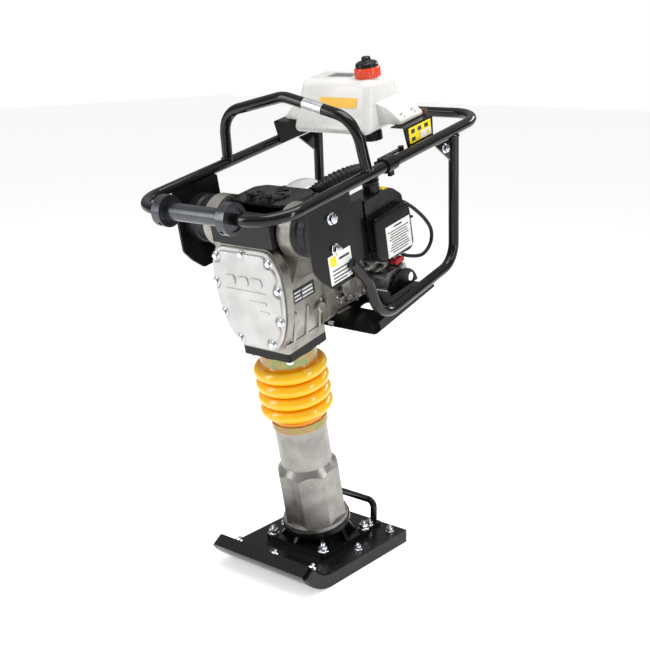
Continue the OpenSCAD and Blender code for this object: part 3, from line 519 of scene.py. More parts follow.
    @staticmethod
    def smooth_route(points: list[Point], steps: int) -> list[Point]:
        """Fills in a smooth route through given points."""
        found: list[Point] = []
        last = len(points) - 1
        for i in range(last):
            a, b = Vector(points[max(i - 1, 0)]), Vector(points[i])
            c, d = Vector(points[i + 1]), Vector(points[min(i + 2, last)])
            for k in range(steps):
                t = k / steps
                bend = (a * 2 - b * 5 + c * 4 - d) * t * t + (b * 3 - a - c * 3 + d) * t ** 3
                found.append(tuple((b * 2 + (c - a) * t + bend) / 2))
        return [*found, points[-1]]

    @staticmethod
    def place(piece: bpy.types.Object, facing: Facing, at: Point) -> bpy.types.Object:
        """Stands a piece on the leaning machine, its own +Z the way it faces.

        Args:
            piece: the piece, modelled about its own origin.
            facing: which way its own +Z looks.
            at: the place of its origin as (x, v, w) in millimetres.

        Returns:
            The piece, with its place in its mesh.
        """
        turn = Matrix(facing.value).transposed().to_4x4()
        shift = Matrix.Translation(Vector(at) * MM)
        piece.matrix_world = LEAN_MATRIX @ shift @ turn @ piece.matrix_world
        return Bench.settle(piece)

    @staticmethod
    def copy(piece: bpy.types.Object) -> bpy.types.Object:
        """Returns a copy of the piece with its own mesh."""
        Bench.pick(piece)
        bpy.ops.object.duplicate(linked=False)
        return bpy.context.active_object

    @staticmethod
    def join(name: str, pieces: list[bpy.types.Object]) -> bpy.types.Object:
        """Joins pieces into the first one and names the result."""
        Bench.pick(*pieces)
        if len(pieces) > 1:
            bpy.ops.object.join()
        pieces[0].name = name
        return pieces[0]

    @staticmethod
    def dress(
        piece: bpy.types.Object, finish: Finish, body: str, slot: str, angle: float = 35.0
    ) -> bpy.types.Object:
        """Gives a placed piece its finish, its smooth shading and its body.

        Args:
            piece: the finished piece.
            finish: what it is coloured with.
            body: the CAD body that it moves with.
            slot: the record's material slot; not used.
            angle: edges sharper than this stay sharp.

        Returns:
            The piece.
        """
        piece.data.materials.clear()
        piece.data.materials.append(finish.material())
        Bench.pick(piece)
        bpy.ops.object.shade_smooth_by_angle(angle=math.radians(angle))
        if body:
            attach(piece, body)
        LOG.info("%s: %d faces on %s", piece.name, len(piece.data.polygons), body)
        return piece


def rounded(points: list[Flat], radius: float, steps: int = 6) -> list[Flat]:
    """Rounds every corner of a closed outline.

    Args:
        points: the corners, in order.
        radius: how far from a corner its curve starts.
        steps: steps of each curve.

    Returns:
        The finer outline.
    """
    found: list[Flat] = []
    count = len(points)
    for i, corner in enumerate(points):
        p = Vector(corner)
        a, b = Vector(points[i - 1]) - p, Vector(points[(i + 1) % count]) - p
        s = p + a.normalized() * min(radius, a.length * 0.45)
        e = p + b.normalized() * min(radius, b.length * 0.45)
        for k in range(steps + 1):
            t = k / steps
            q = s * (1 - t) ** 2 + p * (2 * t * (1 - t)) + e * t * t
            found.append((q.x, q.y))
    return found


def box_outline(x0: float, y0: float, x1: float, y1: float) -> list[Flat]:
    """Returns the four corners of a rectangle."""
    return [(x0, y0), (x1, y0), (x1, y1), (x0, y1)]


# ---------------------------------------------------------------- fasteners


@dataclass
class Fasteners:
    """Nuts, studs and bolts with washers, chamfered as real ones."""

    count: int = field(default=0, init=False)

    def hexagon(self, across: float, high: float) -> bpy.types.Object:
        """Makes a hexagon with a chamfered top."""
        r = across / 2 / math.cos(math.radians(30))
        outline = [
            (r * math.cos(math.radians(60 * i)), r * math.sin(math.radians(60 * i)))
            for i in range(6)
        ]
        return Bench.plate("hexagon", outline, high, bevel=across * 0.045, segments=2)

    def stud_nut(self, size: float) -> bpy.types.Object:
        """Makes a washer, a nut and the stud end that stands out of it."""
        across = size * 1.7
        washer = Bench.turned(
            "washer",
            [(0, 0), (size * 1.15, 0), (size * 1.15, size * 0.14), (size * 1.08, size * 0.2),
             (0, size * 0.2)], 32,
        )
        nut = self.hexagon(across, size * 0.85)
        nut.location.z = size * 0.2 * MM
        Bench.settle(nut)
        end = size * 1.72
        stud = Bench.turned(
            "stud",
            [(0, size), (size * 0.46, size)]
            + [(size * (0.48 if k % 2 else 0.42), size + 0.9 * (k + 1)) for k in range(7)]
            + [(size * 0.36, end), (0, end)], 20,
        )
        return Bench.join("stud_nut", [nut, washer, stud])

    def hex_bolt(self, shank: float, under: float) -> bpy.types.Object:
        """Makes a bolt head on a washer, with its shank below."""
        washer = Bench.turned(
            "washer",
            [(0, -under), (shank, -under), (shank, 0), (shank * 2.1, 0), (shank * 2.1, 1.5),
             (shank * 1.95, 2), (0, 2)], 32,
        )
        head = self.hexagon(shank * 3.1, shank * 1.3)
        head.location.z = 2 * MM
        Bench.settle(head)
        return Bench.join("hex_bolt", [head, washer])

    def flange_bolt(self, high: float = 7.5) -> bpy.types.Object:
        """Makes a cover screw: hexagon with a flange and a dished top."""
        flange = Bench.turned(
            "flange", [(0, 0), (9, 0), (9, 0.8), (8.2, 1.6), (6.4, 2.2), (0, 2.2)], 32
        )
        head = self.hexagon(12, high - 1)
        head.location.z = 1 * MM
        Bench.settle(head)
        return Bench.join("flange_bolt", [head, flange])

    def spread(
        self, master: bpy.types.Object, spots: list[tuple[Facing, Point]]
    ) -> list[bpy.types.Object]:
        """Copies a fastener to several places on the leaning machine."""
        made = []
        for facing, at in spots:
            made.append(Bench.place(Bench.copy(master), facing, at))
        self.count += len(made)
        return made

    @staticmethod
    def drop(master: bpy.types.Object) -> None:
        """Removes a fastener that was only there to be copied."""
        bpy.data.objects.remove(master, do_unlink=True)


# ---------------------------------------------------------------- sub-assemblies


@dataclass
class Studio:
    """Floor, lights and camera."""

    camera_at: Point = (1.5642, -1.8925, 1.2006)
    yaw: float = 39.31
    down: float = 14.70
    roll: float = -0.40
    lens: float = 61.30
    sensor: float = 36.0
    middle: Point = (0.0, -0.1, 0.6)
    floor_size: float = 30.0
    floor_glow: float = 0.50
    sky_light: float = 0.60
    horizon: tuple[float, Colour] = (0.02, (0.16, 0.16, 0.17))
    zenith: tuple[float, Colour] = (0.75, (1.0, 1.0, 1.0))
    lamps: list[tuple[str, Point, Flat, float]] = field(default_factory=lambda: [
        ("softbox_above", (0.4, -0.2, 3.0), (2.2, 1.2), 44),
        ("softbox_front_left", (-1.8, -2.6, 1.7), (0.9, 2.2), 34),
        ("strip_right", (2.9, 0.1, 1.5), (0.35, 2.4), 24),
        ("strip_back", (0.8, 2.8, 2.2), (1.8, 0.6), 30)])

    def camera(self) -> None:
        """Makes the camera that looks at the machine from its front right."""
        data = bpy.data.cameras.new("camera")
        data.lens, data.sensor_width = self.lens, self.sensor
        camera = bpy.data.objects.new("camera", data)
        bpy.context.scene.collection.objects.link(camera)
        yaw, down, roll = (math.radians(a) for a in (self.yaw, self.down, self.roll))
        ahead = Vector(
            (-math.sin(yaw) * math.cos(down), math.cos(yaw) * math.cos(down), -math.sin(down))
        )
        level = Vector((math.cos(yaw), math.sin(yaw), 0))
        above = level.cross(ahead)
        right = level * math.cos(roll) + above * math.sin(roll)
        up = right.cross(ahead)
        turn = Matrix((right, up, -ahead)).transposed().to_4x4()
        camera.matrix_world = Matrix.Translation(self.camera_at) @ turn
        bpy.context.scene.camera = camera

    def lamp(self, name: str, at: Point, size: Flat, power: float) -> None:
        """Adds a soft rectangular light that looks at the machine."""
        data = bpy.data.lights.new(name, "AREA")
        data.shape, data.energy = "RECTANGLE", power
        data.size, data.size_y = size
        lamp = bpy.data.objects.new(name, data)
        bpy.context.scene.collection.objects.link(lamp)
        lamp.location = at
        aim = Vector(self.middle) - Vector(at)
        lamp.rotation_euler = aim.to_track_quat("-Z", "Y").to_euler()

    def build(self) -> None:
        """Lays the floor and sets the light."""
        bpy.ops.object.select_all(action="DESELECT")
        bpy.ops.mesh.primitive_plane_add(size=self.floor_size, location=(0, 0, 0))
        floor = bpy.context.active_object
        floor.name = "studio_floor"
        paper = Finish("studio_paper", (0.93, 0.93, 0.93), (0.92, 0.92, 0.92), 0.55)
        sheet = paper.material()
        shader = sheet.node_tree.nodes["Principled BSDF"]
        shader.inputs["Emission Color"].default_value = (1, 1, 1, 1)
        shader.inputs["Emission Strength"].default_value = self.floor_glow
        floor.data.materials.append(sheet)
        bpy.context.scene.view_settings.view_transform = "Standard"
        self.sky()
        for lamp in self.lamps:
            self.lamp(*lamp)

    def sky(self) -> None:
        """Lights from all round: bright above, dim at eye level, white to the camera."""
        world = bpy.data.worlds.new("studio")
        bpy.context.scene.world = world
        world.use_nodes = True
        nodes, links = world.node_tree.nodes, world.node_tree.links
        seen = nodes["Background"]
        seen.inputs["Color"].default_value = (1, 1, 1, 1)
        seen.inputs["Strength"].default_value = 1.0
        lit = nodes.new("ShaderNodeBackground")
        lit.inputs["Strength"].default_value = self.sky_light
        place = nodes.new("ShaderNodeTexCoord")
        split = nodes.new("ShaderNodeSeparateXYZ")
        links.new(place.outputs["Generated"], split.inputs["Vector"])
        ramp = nodes.new("ShaderNodeValToRGB")
        for element, (height, colour) in zip(
            ramp.color_ramp.elements, (self.horizon, self.zenith)
        ):
            element.position, element.color = height, (*colour, 1)
        links.new(split.outputs["Z"], ramp.inputs["Fac"])
        links.new(ramp.outputs["Color"], lit.inputs["Color"])
        rays = nodes.new("ShaderNodeLightPath")
        mix = nodes.new("ShaderNodeMixShader")
        links.new(rays.outputs["Is Camera Ray"], mix.inputs["Fac"])
        links.new(lit.outputs["Background"], mix.inputs[1])
        links.new(seen.outputs["Background"], mix.inputs[2])
        links.new(mix.outputs["Shader"], nodes["World Output"].inputs["Surface"])


@dataclass
class Bellows:
    """The yellow bellows between the leg and the guide, with its bands."""

    cuff_r: float = 60.3
    cuff_wall: float = 2.0
    low: float = 352.0
    first_fold: float = 386.0
    pitch: float = 32.0
    folds: int = 4
    deep_r: float = 68.0
    crest_r: float = 83.6
    wall: float = 2.5
    high: float = 543.0

    def radius(self, w: float) -> float:
        """Returns the outer radius at a height: full round folds, narrow valleys."""
        share = abs(math.sin(math.pi * (w - self.first_fold) / self.pitch))
        return self.deep_r + (self.crest_r - self.deep_r) * share**0.55

    def build(self) -> None:
        """Spins the wall that stands between leg and machine."""
        top = self.first_fold + self.folds * self.pitch
        steps = self.folds * 18
        levels = [self.first_fold + (top - self.first_fold) * i / steps for i in range(steps + 1)]
        outside = self.cuff_r + self.cuff_wall
        profile = [(self.cuff_r, self.low), (outside, self.low), (outside, 377.0),
                   (outside + 1.5, 381.0)]
        profile += [(self.radius(w), w) for w in levels]
        profile += [(outside + 1.0, top + 3), (outside, self.high), (self.cuff_r, self.high),
                    (self.cuff_r, top + 2)]
        profile += [(self.radius(w) - self.wall, w) for w in reversed(levels)]
        profile += [(self.cuff_r, 380.0), (self.cuff_r, self.low)]
        piece = Bench.turned("bellows_wall", profile, 96)
        Bench.place(piece, Facing.TOP, (0, 0, 0))
        Bench.dress(piece, BELLOWS_YELLOW, "", "yellow_bellows", 60)
        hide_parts("bellows")
        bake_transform(piece)


@dataclass
class LegSprings:
    """The two spring sets of the leg, one below and one above the piston's head."""

    sizes: list[Flat] = field(default_factory=lambda: [(40.0, 9.0), (25.0, 6.0)])
    below: Flat = (112.3, 284.7)
    above: Flat = (300.3, 455.7)

    @staticmethod
    def coil(radius: float, wire: float, span: Flat, turns: float) -> bpy.types.Object:
        """Winds one coil spring about the leg's axis.

        Args:
            radius: radius to the middle of the wire.
            wire: thickness of the wire.
            span: lower and upper end, as heights.
            turns: number of turns.

        Returns:
            The spring.
        """
        count = round(turns * 20)
        low, high = span[0] + wire / 2, span[1] - wire / 2
        route = []
        for i in range(count + 1):
            angle = math.tau * turns * i / count
            height = low + (high - low) * i / count
            route.append((radius * math.cos(angle), radius * math.sin(angle), height))
        return Bench.hose("coil", route, wire / 2)

    def build(self) -> None:
        """Winds both sets."""
        for name, node, span, turns, foot_end, head_end in (
            ("low_coils", "lower_springs", self.below, (7, 9), 0, 1),
            ("high_coils", "upper_springs", self.above, (6.5, 8), 1, 0),
        ):
            made = [self.coil(*size, span, n) for size, n in zip(self.sizes, turns)]
            piece = Bench.join(name, made)
            Bench.dress(piece, STEEL, "", "machined_steel", 60)
            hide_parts(node)
            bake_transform(piece)


@dataclass
class StarterRope:
    """The starter's rope, which the pulled grip draws out of its cover."""

    at: Flat = (-20.0, 680.0)
    span: Flat = (290.0, 313.0)
    rope_r: float = 1.7

    def build(self) -> None:
        """Lays the rope from the cover to the grip."""
        (x, w), (start, end), steps = self.at, self.span, 60
        route = [(x, start + (end - start) * i / steps, w) for i in range(steps + 1)]
        piece = Bench.hose("starter_rope", route, self.rope_r)
        Bench.dress(piece, RUBBER, "", "black_rubber", 60)
        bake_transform(piece)


@dataclass
class Shoe:
    """Nuts and studs on the shoe, its flange and its heel handle."""

    core_top: float = 32.0
    flange_top: float = 48.0
    toe_mid: Flat = (-135.0, 110.0)
    toe_inner_r: float = 78.0
    toe_bolt_angle: float = 30.0

    def build(self, fasteners: Fasteners) -> None:
        """Puts real nuts where the plain ones stand."""
        made: list[bpy.types.Object] = []
        for size, spots, height in (
            (9.0, [(-114, -5), (-114, 121), (114, -5), (114, 121)], self.core_top),
            (12.0, [(-76, -88), (-76, 66), (76, -88), (76, 66)], self.flange_top),
            (9.0, [(-64, 106), (64, 106)], self.core_top + 8),
        ):
            master = fasteners.stud_nut(size)
            for x, y in spots:
                nut = Bench.copy(master)
                nut.matrix_world = Matrix.Translation(Vector((x, y, height)) * MM)
                made.append(Bench.settle(nut))
            fasteners.drop(master)
        master = fasteners.stud_nut(10.0)
        tilt = Matrix.Rotation(math.radians(-self.toe_bolt_angle), 4, "X")
        for x in (-112, 0, 112):
            nut = Bench.copy(master)
            centre = Matrix.Translation(Vector((x, *self.toe_mid)) * MM)
            down = Matrix.Translation((0, 0, (1 - self.toe_inner_r) * MM))
            nut.matrix_world = centre @ tilt @ down
            made.append(Bench.settle(nut))
        fasteners.drop(master)
        piece = Bench.join("shoe_nuts", made)
        Bench.dress(piece, ZINC, "foot", "zinc")
        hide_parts("shoe_bolts")


@dataclass
class FrontCover:
    """The crankcase cover with its raised panel, bosses and screws."""

    half: list[Flat] = field(default_factory=lambda: [
        (52, 580), (76, 612), (92, 662), (97, 716), (94, 770), (72, 808)])
    middle: Flat = (0.0, 700.0)
    face_v: float = -79.0
    bolt_face_v: float = -86.0
    panel_v: float = -92.0
    screws: list[Flat] = field(default_factory=lambda: [
        (0, 798), (46, 597), (-46, 597), (81, 654), (-81, 654),
        (88, 726), (-88, 726), (75, 786), (-75, 786)])

    def outline(self, share: float, radius: float) -> list[Flat]:
        """Returns the cover's outline, shrunk towards its middle."""
        full = self.half + [(-x, w) for x, w in reversed(self.half)]
        mid = Vector(self.middle)
        shrunk = [tuple(mid + (Vector(p) - mid) * share) for p in full]
        return rounded(shrunk, radius, 8)

    def build(self, fasteners: Fasteners) -> None:
        """Builds the cover, its generic relief and its screws."""
        base = Bench.plate("base", self.outline(1.0, 18), self.face_v - self.bolt_face_v, 2.2, 4)
        Bench.place(base, Facing.FRONT, (0, self.face_v - 0.2, 0))
        panel = Bench.plate("panel", self.panel_outline(), 8.0, 4.2, 5)
        Bench.place(panel, Facing.FRONT, (0, self.panel_v + 8, 0))
        parts = [base, panel]
        for x, w in self.screws:
            boss = Bench.turned("boss", [(0, 0), (10.5, 0), (10.5, 2.0), (9.8, 2.8), (0, 2.8)], 32)
            parts.append(Bench.place(boss, Facing.FRONT, (x, self.bolt_face_v + 1.6, w)))
        cover = Bench.join("cover_plate", parts)
        Bench.dress(cover, COVER_GREY, "machine", "white_cover", 40)
        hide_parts("crankcase_cover")
        self.relief()
        head = fasteners.flange_bolt()
        spots = [(Facing.FRONT, (x, self.bolt_face_v - 1.2, w)) for x, w in self.screws]
        made = fasteners.spread(head, spots)
        fasteners.drop(head)
        under = fasteners.hex_bolt(5.0, 1.0)
        corners = [(-56, -56), (56, -56), (56, 50), (-56, 50)]
        made += fasteners.spread(under, [(Facing.UNDER, (x, v, 547.0)) for x, v in corners])
        fasteners.drop(under)
        piece = Bench.join("case_screws", made)
        Bench.dress(piece, ZINC, "machine", "zinc")
        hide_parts("case_bolts")

    def panel_outline(self) -> list[Flat]:
        """Returns the raised panel's outline with a notch round every screw."""
        notch_r = 13.5
        found: list[Flat] = []
        for x, w in self.outline(0.93, 16):
            p = Vector((x, w))
            for sx, sw in self.screws:
                away = p - Vector((sx, sw))
                if away.length < notch_r:
                    inward = (Vector(self.middle) - Vector((sx, sw))).normalized()
                    side = away - inward * away.dot(inward)
                    reach = math.sqrt(max(notch_r**2 - side.length_squared, 0))
                    p = Vector((sx, sw)) + side + inward * reach
            found.append((p.x, p.y))
        return found

    def relief(self) -> None:
        """Adds plain raised bars where a maker would cast its name."""
        bars = [(-42, 738, 30, 22, 2.6), (-5, 738, 30, 22, 2.6), (32, 738, 34, 22, 2.6),
                (0, 716, 112, 2.2, 1.8), (28, 692, 48, 8, 1.8), (42, 672, 26, 6, 1.8)]
        made = []
        for x, w, long, high, proud in bars:
            outline = rounded(box_outline(-long / 2, -high / 2, long / 2, high / 2), high * 0.4)
            bar = Bench.plate("bar", outline, proud + 0.4, 0.4, 2)
            made.append(Bench.place(bar, Facing.FRONT, (x, self.panel_v + 0.4, w)))
        piece = Bench.join("cover_relief", made)
        Bench.dress(piece, COVER_GREY, "machine", "white_cover")


@dataclass
class Case:
    """Details on the crankcase: flange edge, ribs, bearing boss, rating plate."""

    side_x: float = 91.0

    def build(self) -> None:
        """Builds the ribs, the machined flange and the blank rating plate."""
        made = []
        for side in (1, -1):
            facing = Facing.RIGHT if side > 0 else Facing.LEFT
            web = [(side * x, w) for x, w in ((46, 588), (66.5, 588), (85, 662), (60, 662))]
            panel = Bench.plate("web", web[::side], 100, 3.0, 3)
            made.append(Bench.place(panel, Facing.FRONT, (0, 47, 0)))
            post = [(side * x, w) for x, w in ((60, 587), (71, 587), (89, 660), (80, 664))]
            for v in (-42, 0, 44):
                rib = Bench.plate("rib", post[::side], 8, 1.8, 3)
                made.append(Bench.place(rib, Facing.FRONT, (0, v, 0)))
            boss = Bench.turned("boss", [(0, 0), (13, 0), (12, 5), (10, 6.5), (0, 6.5)], 32)
            made.append(Bench.place(boss, facing, (side * 86, 34, 640)))
            ring = Bench.turned(
                "ring", [(46, 0), (57, 0), (57, 1.6), (55, 2.6), (48, 2.6), (46, 1.6), (46, 0)], 64)
            made.append(Bench.place(ring, facing, (side * 121.0, -8, 834)))
        piece = Bench.join("case_ribs", made)
        Bench.dress(piece, CAST_ALUMINIUM, "machine", "cast_aluminium")
        plate = Bench.plate("rating_plate", rounded(box_outline(-36, -15, 36, 15), 2), 1.4, 0.3, 2)
        Bench.place(plate, Facing.RIGHT, (self.side_x - 0.7, -16, 696))
        Bench.dress(plate, LABEL_INK, "machine", "black_plastic")
        Label.bars(
            "rating_marks", LABEL_WHITE, "label_white", "machine", Facing.RIGHT,
            (self.side_x + 0.72, -16, 696),
            [(-20, 8, 22, 3), (-22, 0, 18, 3), (-20, -8, 22, 3), (12, 7, 34, 4), (12, -1, 34, 5),
             (12, -9, 34, 3)],
        )


@dataclass
class Label:
    """A plain printed label: a ground, a coloured block and bars."""

    name: str
    facing: Facing
    at: Point
    size: Flat
    body: str
    ground: Finish = LABEL_WHITE
    block: tuple[float, float, float, float] | None = None
    marks: list[tuple[float, float, float, float]] = field(default_factory=list)
    turn: float = 0.0

    @staticmethod
    def bars(
        name: str, finish: Finish, slot: str, body: str, facing: Facing, at: Point,
        marks: list[tuple[float, float, float, float]], turn: float = 0.0,
    ) -> None:
        """Prints plain bars.

        Args:
            name: name of the joined piece.
            finish: the ink.
            slot: the record's material slot.
            body: the CAD body it moves with.
            facing: which way the bars look.
            at: middle of the print.
            marks: each bar's middle and size, as (x, y, width, height).
            turn: turn of the whole print in its own plane, in degrees.
        """
        made = []
        for x, y, wide, high in marks:
            bar = Bench.block("bar", (wide, high, 0.25))
            bar.location = (x * MM, y * MM, 0)
            made.append(Bench.settle(bar))
        piece = Bench.join(name, made)
        piece.rotation_euler.z = math.radians(turn)
        Bench.settle(piece)
        Bench.place(piece, facing, at)
        Bench.dress(piece, finish, body, slot)

    def build(self) -> None:
        """Lays the ground and prints on it."""
        wide, high = self.size
        outline = rounded(box_outline(-wide / 2, -high / 2, wide / 2, high / 2), 1.5, 3)
        sheet = Bench.plate(self.name, outline, 0.4)
        sheet.rotation_euler.z = math.radians(self.turn)
        Bench.settle(sheet)
        Bench.place(sheet, self.facing, self.at)
        slot = "label_yellow" if self.ground is LABEL_YELLOW else "label_white"
        Bench.dress(sheet, self.ground, self.body, slot)
        lift = Vector(self.facing.value[2]) * 0.35
        above = tuple(Vector(self.at) + lift)
        if self.block:
            Label.bars(self.name + "_block", LABEL_YELLOW, "label_yellow", self.body,
                       self.facing, above, [self.block], self.turn)
        if self.marks:
            Label.bars(self.name + "_marks", LABEL_INK, "black_plastic", self.body,
                       self.facing, above, self.marks, self.turn)


@dataclass
class FuelTank:
    """The moulded tank with its neck, feet and fluted cap."""

    top_w: float = 1066.0
    low_w: float = 955.0
    top: Point = (97.0, 288.0, 378.0)
    low: Point = (110.0, 244.0, 408.0)
    cap_at: Flat = (66.0, 326.0)
    foot: list[Flat] = field(default_factory=lambda: [
        (84, 970.4), (165, 970.4), (165, 981), (130, 1008), (84, 1024)])
    cap_ribs: int = 26
    cap_rib_r: float = 27.9

    def shell(self) -> bpy.types.Object:
        """Shapes the tank from a block that narrows towards its top."""
        half_x, front, back = self.low
        high = self.top_w - self.low_w
        body = Bench.plate("shell", box_outline(-half_x, front, half_x, back), high)
        middle = (front + back) / 2 * MM
        for vertex in body.data.vertices:
            if vertex.co.z > 0:
                vertex.co.x = math.copysign(self.top[0] * MM, vertex.co.x)
                vertex.co.y = (self.top[1] if vertex.co.y < middle else self.top[2]) * MM
        Bench.soften(body, 17, 6)
        return Bench.place(body, Facing.TOP, (0, 0, self.low_w))

    def build(self) -> None:
        """Builds shell, feet and neck, then the plain front mark and the cap."""
        parts = [self.shell()]
        for side in (1, -1):
            outline = [(side * x, w) for x, w in self.foot][::side]
            foot = Bench.plate("foot", rounded(outline, 6), 84, 3, 3)
            Bench.place(foot, Facing.FRONT, (0, 377, 0))
            parts.append(foot)
        neck = Bench.turned("neck", [(0, -8), (27, -8), (25, 0), (22, 2), (22, 9), (0, 9)], 40)
        parts.append(Bench.place(neck, Facing.TOP, (*self.cap_at, self.top_w)))
        piece = Bench.join("tank_moulding", parts)
        Bench.dress(piece, TANK_WHITE, "handle", "white_tank", 50)
        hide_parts("fuel_tank")
        self.mark()
        self.cap()

    def mark(self) -> None:
        """Lays a plain yellow bar on the sloping front face."""
        rise = self.top_w - self.low_w
        run = self.top[1] - self.low[1]
        slope = math.atan2(run, rise)
        bar = Bench.plate("front_mark", rounded(box_outline(-52, -11, 52, 11), 4), 0.6)
        bar.matrix_world = Matrix.Rotation(-slope, 4, "X")
        Bench.settle(bar)
        middle = 0.60
        at = (18, self.low[1] + run * middle - 0.6, self.low_w + rise * middle)
        Bench.place(bar, Facing.FRONT, at)
        Bench.dress(bar, MARK_GOLD, "handle", "label_yellow")

    def cap(self) -> None:
        """Builds the fluted ring, the crown and the knob of the cap."""
        ring = Bench.turned("ring", [
            (22.5, 0), (27.2, 0), (27.8, 1), (27.8, 19), (26.6, 21.5), (24.8, 22), (22.5, 22),
            (22.5, 0)], 48)
        parts = [ring]
        for i in range(self.cap_ribs):
            rib = Bench.block("rib", (2.4, 1.6, 18), 0.5)
            angle = math.tau * i / self.cap_ribs
            spot = Vector((math.sin(angle), math.cos(angle), 0)) * self.cap_rib_r
            rib.location = (spot + Vector((0, 0, 1.4))) * MM
            rib.rotation_euler.z = -angle
            parts.append(Bench.settle(rib))
        skirt = Bench.join("cap_ring", parts)
        Bench.place(skirt, Facing.TOP, (*self.cap_at, self.top_w + 0.3))
        Bench.dress(skirt, CAP_ORANGE, "cap", "orange_cap")
        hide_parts("tank_cap")
        crown = Bench.turned("cap_crown", [
            (0, 15), (22.4, 15), (25.2, 22), (25.2, 25), (24.2, 30), (20.5, 33), (12, 34.5),
            (10.5, 36), (10, 42), (8, 44), (0, 44.3)], 48)
        Bench.place(crown, Facing.TOP, (*self.cap_at, self.top_w + 0.3))
        Bench.dress(crown, PLASTIC, "cap", "black_plastic", 40)


@dataclass
class AirCleaner:
    """The side cover of the air cleaner with its knob and rim; its label is one of LABELS."""

    outline: list[Flat] = field(default_factory=lambda: [
        (177, 700), (191, 688), (296, 680), (312, 692), (310, 778), (298, 796), (181, 792)])
    inner_x: float = 130.0
    outer_x: float = 151.0
    knob_x: float = 138.0
    knob_w: float = 752.0

    def build(self) -> None:
        """Builds the softened cover, the case rim and the wing knob."""
        cover = Bench.plate("cleaner_cover", rounded(self.outline, 9),
                            self.outer_x - self.inner_x, 6.0, 5)
        Bench.place(cover, Facing.RIGHT, (self.inner_x, 0, 0))
        rim = Bench.plate("rim", rounded(self.outline, 9), 5, 1.0, 2)
        Bench.place(rim, Facing.RIGHT, (self.inner_x - 1, 0, 0))
        knob = Bench.turned("knob", [(0, 0), (9, 0), (9, 3), (6, 5), (6, 11), (3, 12), (0, 12)], 24)
        Bench.place(knob, Facing.REAR, (self.knob_x, 308, self.knob_w))
        wing = Bench.block("wing", (22, 5, 9), 1.8)
        Bench.place(wing, Facing.REAR, (self.knob_x, 312, self.knob_w))
        piece = Bench.join("cleaner_cover", [cover, rim, knob, wing])
        Bench.dress(piece, SATIN_PAINT, "machine", "black_plastic", 40)
        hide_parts("air_cleaner_cover")


@dataclass
class Hoses:
    """The corrugated intake hose and the thin breather hose."""

    intake: list[Point] = field(default_factory=lambda: [
        (53, 93, 863.5), (54, 106, 866), (62, 126, 875), (76, 154, 884), (92, 188, 888),
        (102, 216, 885), (104, 236, 873), (104, 238, 858)])
    breather: list[Point] = field(default_factory=lambda: [
        (112, 317, 786), (124, 324, 782), (134, 346, 760), (140, 376, 724), (141, 394, 690),
        (140, 386, 660), (136, 356, 644), (126, 322, 652), (118, 300, 666), (112, 296, 684)])
    intake_r: float = 20.0
    breather_r: float = 4.3
    fold_depth: float = 0.075
    fold_rings: int = 6

    def build(self) -> None:
        """Builds the folded intake hose and the plain breather hose."""
        route = Bench.smooth_route(self.intake, 22)
        swell = [1.0 - self.fold_depth * (1 + math.cos(math.tau * i / self.fold_rings))
                 for i in range(len(route))]
        piece = Bench.hose("intake_bellows", route, self.intake_r, swell)
        Bench.dress(piece, RUBBER, "machine", "black_rubber", 50)
        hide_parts("intake_hose")
        route = Bench.smooth_route(self.breather, 9)
        piece = Bench.hose("breather_tube", route, self.breather_r)
        Bench.dress(piece, RUBBER, "machine", "black_rubber", 50)
        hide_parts("breather_hose")


@dataclass
class Precleaner:
    """Raised disc, knobs and ribs on the precleaner's lid."""

    lid_w: float = 886.3
    dome_v: float = 30.0
    ribs: int = 8
    rib_ring_r: float = 26.0

    def build(self) -> None:
        """Builds the details on the lid."""
        dome = Bench.turned("dome", [
            (0, -0.5), (44, -0.5), (43, 3), (38, 5), (20, 6.5), (0, 7)], 48)
        parts = [Bench.place(dome, Facing.TOP, (0, self.dome_v, self.lid_w))]
        for x, v in ((-30, -4), (24, -6)):
            knob = Bench.turned("knob", [
                (0, -1), (11, -1), (11, 2), (7, 4), (7, 10), (9, 12), (8, 15), (0, 15.5)], 24)
            parts.append(Bench.place(knob, Facing.TOP, (x, v, self.lid_w)))
            grip = Bench.block("grip", (22, 5, 8), 1.6)
            parts.append(Bench.place(grip, Facing.TOP, (x, v, self.lid_w + 9)))
        for i in range(self.ribs):
            turn = math.tau * i / self.ribs
            rib = Bench.block("rib", (3, 26, 3), 0.8)
            rib.rotation_euler.z = turn
            rib.location = (self.rib_ring_r * math.sin(-turn) * MM,
                            self.rib_ring_r * math.cos(turn) * MM, 5 * MM)
            Bench.settle(rib)
            parts.append(Bench.place(rib, Facing.TOP, (0, self.dome_v, self.lid_w)))
        piece = Bench.join("precleaner_knobs", parts)
        Bench.dress(piece, PLASTIC, "machine", "black_plastic", 40)


